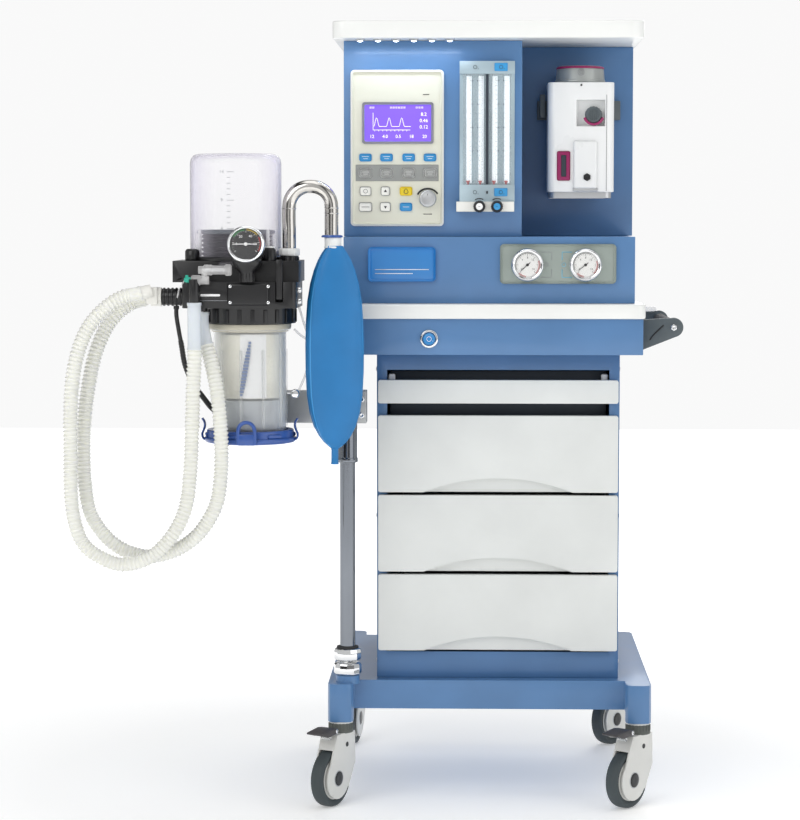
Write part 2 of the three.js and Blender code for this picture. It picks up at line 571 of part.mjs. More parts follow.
// The flowmeter: a frame, two clear blocks with two tubes each, four floats and two needle-valve knobs.
function addFlowmeter() {
  const bottom = towerBottom + flow.rise;
  const top = bottom + flow.height;
  const y = [control.front - gap - flow.depth, control.front - gap];
  const x = span(flow.centreX, flow.width);
  const tubesZ = [bottom + flow.capBottom, top - flow.capTop];
  const valveFront = y[0] - flow.baseProud;
  const baseZ = [bottom - flow.baseHeight, bottom];
  const knobZ = (baseZ[0] + baseZ[1]) / 2;
  const knobX = span(flow.centreX + flow.knobRight, flow.knobPitch);
  const shafts = knobX.map((centre) =>
    rod(centre, [valveFront - flow.shaftLength, valveFront + past], knobZ, flow.shaft, 12));
  const frame = join(
    block(x, y, [bottom, tubesZ[0]]),
    block(x, y, [tubesZ[1], top]),
    block(x, [y[1] - flow.backPlate, y[1]], [bottom, top]),
    block(span(flow.centreX - flow.baseLeft, flow.baseWidth), [valveFront, y[1]], baseZ),
    ...shafts,
  );
  add("flowmeter_frame", frame, frameGrey);
  const knobY = [valveFront - gap - flow.knobLength, valveFront - gap];
  const boreY = [valveFront - flow.shaftLength - flow.shaftPlay, valveFront + past];
  const sides = ["left", "right"];
  knobX.forEach((centre, i) => {
    const knob = rod(centre, knobY, knobZ, flow.knobRadius - flow.knobTaper, 24, flow.knobRadius);
    const bore = rod(centre, boreY, knobZ, flow.shaft + flow.shaftPlay, 12);
    const notchY = [knobY[0] - past, knobY[0] + flow.notchDepth];
    const notchZ = [knobZ + flow.notchStart, knobZ + flow.notchEnd];
    const notch = block(span(centre, flow.notchWidth), notchY, notchZ);
    add(`flow_knob_${sides[i]}`, cut(knob, bore, notch), black);
  });
  const blockFaceY = [y[0] + flow.blockSetBack, y[1] - flow.backPlate - gap];
  const boreCentreY = (blockFaceY[0] + blockFaceY[1]) / 2;
  [-1, 1].forEach((side, i) => {
    const centre = flow.centreX + side * (flow.blockWidth + flow.blockGap) / 2;
    let body = block(span(centre, flow.blockWidth), blockFaceY, [tubesZ[0] + gap, tubesZ[1] - gap]);
    span(centre, flow.tubePitch).forEach((tubeX, j) => {
      const boreZ = [tubesZ[0] - past, tubesZ[1] + past];
      body = cut(body, post(tubeX, boreCentreY, boreZ, flow.boreRadius, 12));
      const floatZ = [tubesZ[0] + gap, tubesZ[0] + gap + flow.floatHeight];
      add(`float_${2 * i + j + 1}`, post(tubeX, boreCentreY, floatZ, flow.floatRadius, 10), red);
    });
    add(`flow_tubes_${sides[i]}`, body, clear);
  });
}

// The vaporizer: a body on a mount bar, a concentration dial on top and a filler cap in a recess.
function addVaporizer() {
  const v = vaporizer;
  const bottom = towerBottom + v.rise;
  const top = bottom + v.height;
  const centreY = v.front + v.depth / 2;
  const shape = roundedShape(v.width, v.depth, v.corner);
  const fillX = v.centreX + filler.right;
  const fillZ = bottom + filler.rise;
  const recessBack = v.front + filler.recessDepth;
  const recess = block(
    span(fillX - filler.recessLeft, filler.recessWidth),
    [v.front - past, recessBack],
    [fillZ - filler.recessDown, fillZ + filler.recessUp],
  );
  const spindle = post(v.centreX, centreY, [top - past, top + v.spindleRise], v.spindleRadius, 16);
  const pin = rod(fillX, [recessBack - filler.pinLength, recessBack + past], fillZ, filler.pin, 12);
  const whole = join(raised(shape, [bottom, top]).translate([v.centreX, centreY, 0]), spindle);
  add("vaporizer_body", join(cut(whole, recess), pin), ivory);
  const mountY = [v.front + v.depth + gap, tower.front - gap];
  const bridgeZ = [top - mount.down, top - mount.down + mount.height];
  const bridge = block(span(v.centreX, mount.width), mountY, bridgeZ);
  const lever = block(
    span(v.centreX - mount.leverLeft, mount.leverWidth),
    [mountY[0] - mount.leverReach, mountY[0] + mount.leverUp],
    [top - mount.down + mount.leverUp, top - mount.leverTop],
  );
  add("vaporizer_mount", join(bridge, lever), slate);
  const dialZ = [top + gap, top + gap + v.dialHeight];
  const dial = post(v.centreX, centreY, dialZ, v.dialRadius, 32, v.dialRadius - v.dialTaper);
  const seatZ = [top - past, top + v.spindleRise + v.spindlePlay];
  const seat = post(v.centreX, centreY, seatZ, v.spindleRadius + v.spindlePlay, 16);
  add("vaporizer_dial", cut(dial, seat), steel);
  const capBack = recessBack - filler.backRoom;
  const capY = [capBack - filler.length, capBack];
  const cap = rod(fillX, capY, fillZ, filler.radius - filler.taper, 16, filler.radius);
  const boreY = [recessBack - filler.pinLength - filler.play, capBack + past];
  add("filler_cap", cut(cap, rod(fillX, boreY, fillZ, filler.pin + filler.play, 12)), slate);
}

// The two supply pressure gauges on the gauge housing, and the oxygen flush button in its collar.
function addGauges() {
  const y = [gaugeBox.front - gap - gauge.depth, gaugeBox.front - gap];
  const z = gaugeBottom + gauge.rise;
  span(gauge.centreX, gauge.spacing).forEach((x, i) => {
    const rim = rod(x, y, z, gauge.radius - gauge.taper, 28, gauge.radius);
    const face = rod(x, [y[0] - past, y[0] + gauge.faceDepth], z, gauge.radius - gauge.rim, 24);
    add(`supply_gauge_${["left", "right"][i]}`, cut(rim, face), chrome);
  });
  const front = lower.front - flush.collarProud - flush.proud;
  const back = lower.front - flush.collarProud + flush.length - flush.travel - 2 * past;
  add("oxygen_flush_button", rod(flush.x, [front, back], lowerBottom + flush.rise, flush.radius, 20), blue);
}

// The pole between the base and the lower housing, with its two chrome nuts.
function addPole() {
  const bottom = base.top + pole.boss + gap;
  const nutTop = bottom + pole.nutHeight;
  const middle = bottom + pole.nutHeight / 2;
  const column = join(
    post(poleX, pole.y, [bottom, lowerBottom - gap], pole.radius, 24),
    post(poleX, pole.y, [bottom, middle - pole.nutGap / 2], pole.nutRadius, 24),
    post(poleX, pole.y, [middle + pole.nutGap / 2, nutTop], pole.nutRadius, 24),
  );
  add("pole", column, steel);
}

// The swing arm: a sleeve and clamp round the pole, a beam behind the canister and an upright plate.
function addArm() {
  const beamZ = [arm.bottom, arm.bottom + arm.height];
  const plateX = span(absorber.x, arm.plateWidth);
  const plateZ = [arm.bottom, blockTop - arm.plateDrop];
  const bore = [arm.sleeveBottom - past, sleeveTop + past];
  const shape = join(
    post(poleX, pole.y, [arm.sleeveBottom, sleeveTop], sleeveRadius, 24),
    block(span(poleX, arm.clampWidth), span(pole.y, arm.clampDepth), beamZ),
    block([plateX[0], poleX], [plateFront, plateFront + arm.thickness], beamZ),
    block(plateX, [plateFront, plateFront + arm.plateThickness], plateZ),
  );
  add("absorber_arm", cut(shape, post(poleX, pole.y, bore, pole.radius + gap, 24)), steel);
}

// The absorber block with its deck, canister ring, ports, stub for the Y-piece and the valve post's foot.
function addAbsorberBlock() {
  const a = absorber;
  const width = a.blockRight - a.blockLeft;
  const depth = blockY[1] - blockY[0];
  const place = [a.blockLeft + width / 2, blockY[0] + depth / 2, 0];
  const plan = roundedShape(width, depth, a.blockCorner);
  const body = raised(plan, [a.blockBottom, blockTop], 3).translate(place);
  const deckY = span(dome.y, 2 * (dome.radius - a.deckInset));
  const collarZ = [a.blockBottom - a.ringHeight - gap, a.blockBottom + past];
  const tongueY = [blockY[1] - past, plateFront - gap];
  const portZ = (port.frontBottom + port.frontTop) / 2;
  const shape = join(
    body,
    block([a.deckLeft, a.blockRight + a.deckPast], deckY, [blockTop - past, deckTop]),
    post(a.x, a.y, collarZ, collarRadius, 32),
    post(apl.x, apl.y, [blockTop - past, deckTop + apl.rise], apl.radius, 20),
    bar([stub.left, a.blockLeft + stub.inset], stub.y, stub.z, stub.radius, 20),
    post(...port.front, [port.frontBottom, port.frontTop], port.radius, 16),
    rod(port.front[0], [port.front[1], blockY[0] + port.inset], portZ, port.radius, 16),
    post(...port.rear, [port.rearBottom, a.blockBottom + past], port.radius, 16),
    block(span(a.x, a.tongueWidth), tongueY, [a.blockBottom + a.tongueInset, blockTop - a.tongueInset]),
    post(dome.x, dome.y, [deckTop - past, deckTop + bellows.height - bellows.stemDrop], bellows.stem, 12),
  );
  const well = post(dome.x, dome.y, [deckTop - dome.sink, deckTop + past], dome.radius + dome.wellPlay, 32);
  const coreZ = [deckTop - dome.sink - past, deckTop + 2 * past];
  const core = post(dome.x, dome.y, coreZ, dome.radius - dome.wall - dome.coreInset, 32);
  const leverRoom = block(
    span(release.x, 2 * release.roomHalf),
    [blockY[0] - past, blockY[0] + release.roomDepth],
    [blockTop - release.roomDrop, deckTop + past],
  );
  add("absorber_block", cut(shape, well.subtract(core), leverRoom), black);
}

// The bag/ventilator lever, hinged in its slot at the block's front.
function addLever() {
  const r = release;
  const shape = new THREE.Shape();
  shape.absarc(0, 0, r.pivotRadius, Math.PI, Math.PI * 2);
  shape.lineTo(r.pivotRadius, r.neckRise);
  shape.lineTo(r.neck, r.height);
  shape.lineTo(-r.reach, r.height + r.hookUp);
  shape.lineTo(-r.reach, r.height - r.hookDown);
  shape.lineTo(-r.pivotRadius, r.backRise);
  const side = new THREE.ExtrudeGeometry(shape, { depth: r.width, bevelEnabled: false, curveSegments: 6 });
  // The outline lies in the YZ plane and is as thick as the lever is wide.
  side.rotateX(Math.PI / 2).rotateZ(Math.PI / 2);
  const place = [r.x - r.width / 2, blockY[0] + r.pivotBack, r.pivotZ];
  add("bag_vent_lever", solid(side).translate(place), black);
}

// The bellows dome, the folded bellows and its top plate, which rises as the bellows fills.
function addBellows() {
  const d = dome;
  const low = deckTop - d.sink + gap;
  const top = low + d.sink + d.height;
  const outer = [
    [0, low], [d.radius, low], [d.radius, top - d.shoulder], [d.radius - d.crown, top - d.crown],
    [d.radius - d.shoulder, top], [0, top],
  ];
  const inside = d.radius - d.wall;
  const room = [
    [0, low - past], [inside, low - past], [inside, top - d.shoulder - past],
    [inside - d.crown, top - d.crown - d.wall], [inside - d.shoulder + 2 * past, top - d.wall],
    [0, top - d.wall],
  ];
  add("bellows_dome", cut(turned(outer, 32), turned(room, 32)).translate([d.x, d.y, 0]), clear);
  const b = bellows;
  const foldZ = [deckTop + gap, deckTop + gap + b.height];
  const step = b.height / b.folds;
  const profile = [[b.bore, foldZ[0]], [b.radius - b.foldDepth, foldZ[0]]];
  for (let i = 0; i < b.folds; i++) {
    const foldLow = foldZ[0] + i * step;
    profile.push([b.radius, foldLow + step / 2], [b.radius - b.foldDepth, foldLow + step]);
  }
  profile.push([b.bore, foldZ[1]], [b.bore, foldZ[0]]);
  add("bellows", turned(profile, 24).translate([d.x, d.y, 0]), black);
  const plateZ = [foldZ[1] + gap, foldZ[1] + gap + b.plate];
  add("bellows_plate", post(d.x, d.y, plateZ, b.radius + b.plateLip, 24), slate);
}

// The canister of absorbent, and its lock ring with an arched handle.
function addCanister() {
  const c = canister;
  const top = absorber.blockBottom - absorber.ringHeight - 2 * gap;
  const lipRadius = c.radius + c.lip;
  const profile = [
    [0, c.bottom], [c.radius - c.footInset, c.bottom], [c.radius, c.bottom + c.footRise],
    [c.radius, top - c.lipHeight - c.lipSlope], [lipRadius, top - c.lipHeight], [lipRadius, top], [0, top],
  ];
  const place = [absorber.x, absorber.y, 0];
  add("canister", turned(profile, 32).translate(place), milky);
  const ringRadius = c.radius + lock.band;
  const ringTop = c.bottom + lock.overlap;
  const ringBottom = ringTop - lock.height;
  const outer = post(0, 0, [ringBottom, ringTop], ringRadius, 36);
  const seat = post(0, 0, [c.bottom - gap, ringTop + past], c.radius + lock.seatPlay, 32);
  const archShape = (half, low, spring) => {
    const shape = new THREE.Shape();
    shape.moveTo(-half, low);
    shape.lineTo(-half, spring);
    shape.absarc(0, spring, half, Math.PI, 0, true);
    shape.lineTo(half, low);
    return shape;
  };
  const archY = [-ringRadius - lock.archOut, lock.archIn - ringRadius];
  const outline = archShape(lock.archHalf, ringBottom + lock.archFoot, ringTop + lock.archRise);
  const arch = upright(outline, archY, 8);
  const openShape = archShape(lock.openHalf, ringTop - lock.openDrop, ringTop + lock.openRise);
  const opening = upright(openShape, [archY[0] - past, archY[1] - lock.openWall], 8);
  const fingerZ = [ringTop + lock.fingerLow, ringTop + lock.fingerHigh];
  const finger = block(span(0, 2 * lock.fingerHalf), [archY[0] - past, archY[1] + past], fingerZ);
  add("canister_ring", join(cut(outer, seat), cut(arch, opening, finger)).translate(place), blue);
}

// The airway pressure gauge stands on the deck's front edge and leans back a little.
function addAirwayGauge() {
  const g = airway;
  const front = blockY[0] - g.forward;
  const centreZ = blockTop + g.rise;
  const backY = [g.depth - past, g.depth + g.backLength];
  const leant = (shape) => shape.rotate([-g.tilt, 0, 0]).translate([g.x, front, centreZ]);
  const shell = join(rod(0, [0, g.depth], 0, g.radius, 32), rod(0, backY, 0, g.radius - g.backInset, 24));
  const stemZ = [blockTop + gap, centreZ - g.stemDown];
  const stem = post(g.x, front + g.depth - g.stemBack, stemZ, g.stemRadius, 16);
  const room = rod(0, [-g.roomFront, g.faceDepth], 0, g.radius - g.rim, 28);
  add("airway_gauge", cut(join(leant(shell), stem), leant(room)), chrome);
}

// The bent tube that carries the breathing bag. It swivels in the pressure-limit valve's nut.
function addBagTube() {
  const t = bagTube;
  const top = tubeFoot + t.rise;
  const end = top - t.drop;
  const archX = [apl.x, apl.x + t.reach];
  const points = [[archX[0], tubeFoot], [archX[0], top - t.bend]];
  const turns = [1, 2, 3, 4, 5].map((i) => (i * Math.PI) / 12);
  for (const turn of turns) {
    points.push([archX[0] + t.bend * (1 - Math.cos(turn)), top - t.bend + t.bend * Math.sin(turn)]);
  }
  points.push([archX[0] + t.bend, top], [archX[1] - t.bend, top]);
  for (const turn of turns) {
    points.push([archX[1] - t.bend * (1 - Math.sin(turn)), top - t.bend * (1 - Math.cos(turn))]);
  }
  points.push([archX[1], top - t.bend], [archX[1], end]);
  const path = new THREE.CurvePath();
  for (let i = 1; i < points.length; i++) {
    const [from, to] = [points[i - 1], points[i]].map(([x, z]) => new THREE.Vector3(x, apl.y, z));
    path.add(new THREE.LineCurve3(from, to));
  }
  const curve = new THREE.CatmullRomCurve3(path.getPoints(2), false, "centripetal");
  const nut = post(apl.x, apl.y, [tubeFoot, tubeFoot + apl.nutHeight], apl.nutRadius, 20);
  add("bag_tube", join(tubeAlong(curve, t.radius, 12, 36), nut), chrome);
}

// The breathing bag: flat and rounded, with a cuff above that fits on the bent tube and a tail below.
function addBag() {
  const x = apl.x + bagTube.reach + bag.right;
  const bottom = bagTop - bag.height;
  const half = bag.height / 2;
  const w = bag.width / 2;
  // The front outline is drawn about the bag's middle: the widest place lies a little below it.
  const outline = new THREE.Shape();
  outline.moveTo(-bag.tailRadius, -half);
  outline.bezierCurveTo(-w * 0.75, -half * 0.78, -w, -half * 0.45, -w, -half * 0.05);
  outline.bezierCurveTo(-w, half * 0.5, -w * 0.8, half * 0.85, -bag.cuffRadius, half);
  outline.lineTo(bag.cuffRadius, half);
  outline.bezierCurveTo(w * 0.8, half * 0.85, w, half * 0.5, w, -half * 0.05);
  outline.bezierCurveTo(w, -half * 0.45, w * 0.75, -half * 0.78, bag.tailRadius, -half);
  const flat = upright(outline, span(0, bag.depth - 2 * bag.edge), 7);
  const bulge = upright(outline, span(0, bag.depth), 7).scale([bag.bulgeWidth, 1, bag.bulgeHeight]);
  const cuff = post(x, apl.y, [bagTop - bag.sink, bagTop + bag.cuffLength - gap], bag.cuffRadius, 16);
  const tail = post(x, apl.y, [bottom - bag.tailLength, bottom + bag.sink], bag.tailRadius, 12);
  add("breathing_bag", join(join(flat, bulge).translate([x, apl.y, bagTop - half]), cuff, tail), rubberBlue);
}

const curveOf = (points) => new THREE.CatmullRomCurve3(points.map((p) => new THREE.Vector3(...p)));

// The two hoses, the sensor cable and the Y-piece, which is parked on the block's stub.
function addCircuit() {
  add("hose_inspiratory", tubeAlong(curveOf(frontRoute), hoseRadius, 8, 52), milky);
  add("hose_expiratory", tubeAlong(curveOf(rearRoute), hoseRadius, 8, 52), milky);
  add("sensor_cable", tubeAlong(curveOf(cableRoute), cableRadius, 8, 22), black);
  const face = stub.left - gap;
  const y = yPiece;
  let piece = join(
    bar([face - y.socket, face], stub.y, stub.z, stub.radius + y.lip, 20),
    block([face - y.body, face - y.bodyStart], span(stub.y, y.width), span(stub.z + y.up, y.height)),
  );
  // Each leg points along its hose's first stretch.
  for (const [near, next] of [frontRoute, rearRoute]) {
    const start = new THREE.Vector3(...near);
    const back = start.clone().sub(new THREE.Vector3(...next)).normalize();
    const [from, to] = [gap, y.legLength].map((reach) => start.clone().addScaledVector(back, reach));
    piece = join(piece, tubeAlong(new THREE.LineCurve3(from, to), hoseRadius - y.legInset, 12, 1));
  }
  add("y_piece", piece, ivory);
}

addBase();
for (const [sideY, row] of [[-1, "front"], [1, "rear"]]) {
  for (const [sideX, hand] of [[-1, "left"], [1, "right"]]) addCaster(`${row}_${hand}`, sideX, sideY);
}
addCabinet();
addDrawers();
addHousings();
addHandle();
addPanel();
addFlowmeter();
addVaporizer();
addGauges();
addPole();
addArm();
addAbsorberBlock();
addLever();
addBellows();
addCanister();
addAirwayGauge();
addBagTube();
addBag();
addCircuit();

// The origin is under the middle of the machine's box, without the hoses, their Y-piece and the cable.
const loose = ["hose_inspiratory", "hose_expiratory", "sensor_cable", "y_piece"];
const extent = new THREE.Box3();
for (const mesh of machine.children) if (!loose.includes(mesh.name)) extent.expandByObject(mesh);
const middle = extent.getCenter(new THREE.Vector3());
machine.position.set(-middle.x, -middle.y, -extent.min.z);

export default machine;
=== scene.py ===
import math
import json
import bpy
from mathutils import Vector, Matrix

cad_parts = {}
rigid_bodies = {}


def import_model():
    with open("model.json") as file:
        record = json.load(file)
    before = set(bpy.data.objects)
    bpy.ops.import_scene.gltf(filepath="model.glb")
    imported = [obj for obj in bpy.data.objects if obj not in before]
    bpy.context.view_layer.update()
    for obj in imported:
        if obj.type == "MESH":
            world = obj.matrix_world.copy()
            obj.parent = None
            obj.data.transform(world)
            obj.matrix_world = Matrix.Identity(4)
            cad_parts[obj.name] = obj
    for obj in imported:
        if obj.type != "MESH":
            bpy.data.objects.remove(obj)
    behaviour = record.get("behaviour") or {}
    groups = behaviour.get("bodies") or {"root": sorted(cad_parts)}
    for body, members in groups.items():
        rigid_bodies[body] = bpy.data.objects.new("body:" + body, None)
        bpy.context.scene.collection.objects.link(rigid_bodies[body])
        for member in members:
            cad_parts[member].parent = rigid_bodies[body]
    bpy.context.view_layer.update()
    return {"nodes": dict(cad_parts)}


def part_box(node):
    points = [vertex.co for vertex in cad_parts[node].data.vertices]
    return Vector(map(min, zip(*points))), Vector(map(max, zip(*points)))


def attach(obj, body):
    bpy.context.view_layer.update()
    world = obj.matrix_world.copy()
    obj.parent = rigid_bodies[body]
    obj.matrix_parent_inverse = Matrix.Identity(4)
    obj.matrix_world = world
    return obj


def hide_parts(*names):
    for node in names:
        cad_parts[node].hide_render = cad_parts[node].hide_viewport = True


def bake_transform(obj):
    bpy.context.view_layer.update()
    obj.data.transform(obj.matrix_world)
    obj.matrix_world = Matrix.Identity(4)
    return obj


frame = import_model()
nodes = frame["nodes"]

# The drawings below are in millimetres from the middle of the base, at floor level.
baseLow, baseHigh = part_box("base_frame")
originX = (baseLow.x + baseHigh.x) / 2
originY = (baseLow.y + baseHigh.y) / 2
mm = 0.001


def at(x, y, z):
    return Vector((originX + x * mm, originY + y * mm, z * mm))


# ---- camera, light and floor ----

viewPoint = {"x": -24.7, "y": -4792, "z": 1022.6, "turnLeft": 1.674, "tiltDown": 4.178, "lens": 114.15}
studio = {
    "lookAt": (-60, 0, 750), "skyStrength": 0.62, "backdropStrength": 0.95,
    # the sky's shades from left to right, as (place, shade)
    "skyBands": ((0.1, 1.0), (0.2, 0.06), (0.34, 0.06), (0.42, 1.0), (0.56, 1.0), (0.66, 0.05), (0.84, 0.8)),
    "floorSize": 16, "floorColour": (0.93, 0.93, 0.92, 1), "floorRough": 0.7,
    # the floor's glow under the machine, and where in metres it starts and stops growing
    "floorGlow": 0.3, "glowFrom": 0.7, "glowTo": 3.2,
    # place in mm, size in metres, power in watts
    "keyLight": ((-1900, -2900, 2600), 2.2, 42),
    "fillLight": ((2400, -2300, 1700), 2.6, 20),
    "topLight": ((200, -300, 3300), 2.4, 18),
    "rimLight": ((900, 2600, 2300), 1.8, 28),
}


def setUpCamera():
    bpy.ops.object.camera_add(location=at(viewPoint["x"], viewPoint["y"], viewPoint["z"]))
    camera = bpy.context.object
    camera.name = "camera"
    camera.rotation_euler = (math.radians(90 - viewPoint["tiltDown"]), 0, math.radians(viewPoint["turnLeft"]))
    camera.data.lens = viewPoint["lens"]
    camera.data.clip_end = 60
    bpy.context.scene.camera = camera


def setUpLamps():
    for name in ("keyLight", "fillLight", "topLight", "rimLight"):
        place, size, power = studio[name]
        bpy.ops.object.light_add(type="AREA", location=at(*place))
        lamp = bpy.context.object
        lamp.name = name
        lamp.data.size = size
        lamp.data.energy = power
        lamp.rotation_euler = (at(*studio["lookAt"]) - lamp.location).to_track_quat("-Z", "Y").to_euler()


# soft dark bands to each side give the polished parts something to reflect
def setUpSky():
    world = bpy.data.worlds.new("studioSky")
    bpy.context.scene.world = world
    world.use_nodes = True
    tree = world.node_tree
    background = tree.nodes["Background"]
    background.inputs["Strength"].default_value = studio["skyStrength"]
    where = tree.nodes.new("ShaderNodeTexCoord")
    split = tree.nodes.new("ShaderNodeSeparateXYZ")
    bands = tree.nodes.new("ShaderNodeValToRGB")
    bands.color_ramp.elements[0].color = (1, 1, 1, 1)
    bands.color_ramp.elements[1].position = 1.0
    bands.color_ramp.elements[1].color = (0.8, 0.82, 0.85, 1)
    for place, shade in studio["skyBands"]:
        stop = bands.color_ramp.elements.new(place)
        stop.color = (shade, shade, shade, 1)
    spread = tree.nodes.new("ShaderNodeMapRange")
    spread.inputs["From Min"].default_value = -1
    seen = tree.nodes.new("ShaderNodeLightPath")
    backdrop = tree.nodes.new("ShaderNodeBackground")
    backdrop.inputs["Color"].default_value = (1, 1, 1, 1)
    backdrop.inputs["Strength"].default_value = studio["backdropStrength"]
    pick = tree.nodes.new("ShaderNodeMixShader")
    links = tree.links
    links.new(where.outputs["Generated"], split.inputs[0])
    links.new(split.outputs["X"], spread.inputs["Value"])
    links.new(spread.outputs["Result"], bands.inputs["Fac"])
    links.new(bands.outputs["Color"], background.inputs["Color"])
    links.new(seen.outputs["Is Camera Ray"], pick.inputs["Fac"])
    links.new(background.outputs["Background"], pick.inputs[1])
    links.new(backdrop.outputs["Background"], pick.inputs[2])
    links.new(pick.outputs["Shader"], tree.nodes["World Output"].inputs["Surface"])


# the floor grows brighter away from the machine, so that it meets the backdrop without a line
def setUpFloor():
    bpy.ops.mesh.primitive_plane_add(size=studio["floorSize"], location=(0, 0, 0))
    floor = bpy.context.object
    floor.name = "floor"
    floorPaint = bpy.data.materials.new("floorPaint")
    floorPaint.use_nodes = True
    shader = floorPaint.node_tree.nodes["Principled BSDF"]
    shader.inputs["Base Color"].default_value = studio["floorColour"]
    shader.inputs["Roughness"].default_value = studio["floorRough"]
    shader.inputs["Emission Color"].default_value = (1, 1, 1, 1)
    paint = floorPaint.node_tree
    place = paint.nodes.new("ShaderNodeTexCoord")
    reach = paint.nodes.new("ShaderNodeVectorMath")
    reach.operation = "LENGTH"
    glow = paint.nodes.new("ShaderNodeMapRange")
    glow.inputs["From Min"].default_value = studio["glowFrom"]
    glow.inputs["From Max"].default_value = studio["glowTo"]
    glow.inputs["To Min"].default_value = studio["floorGlow"]
    glow.inputs["To Max"].default_value = studio["backdropStrength"]
    paint.links.new(place.outputs["Object"], reach.inputs[0])
    paint.links.new(reach.outputs["Value"], glow.inputs["Value"])
    paint.links.new(glow.outputs["Result"], shader.inputs["Emission Strength"])
    floor.data.materials.append(floorPaint)


setUpCamera()
setUpLamps()
setUpSky()
setUpFloor()
bpy.context.scene.view_settings.view_transform = "Standard"
print("stage: camera, lights and floor")

# ---- finishes ----
# grain is the size of the fine surface texture in mm, bump its depth, and cloud how far the colour wanders

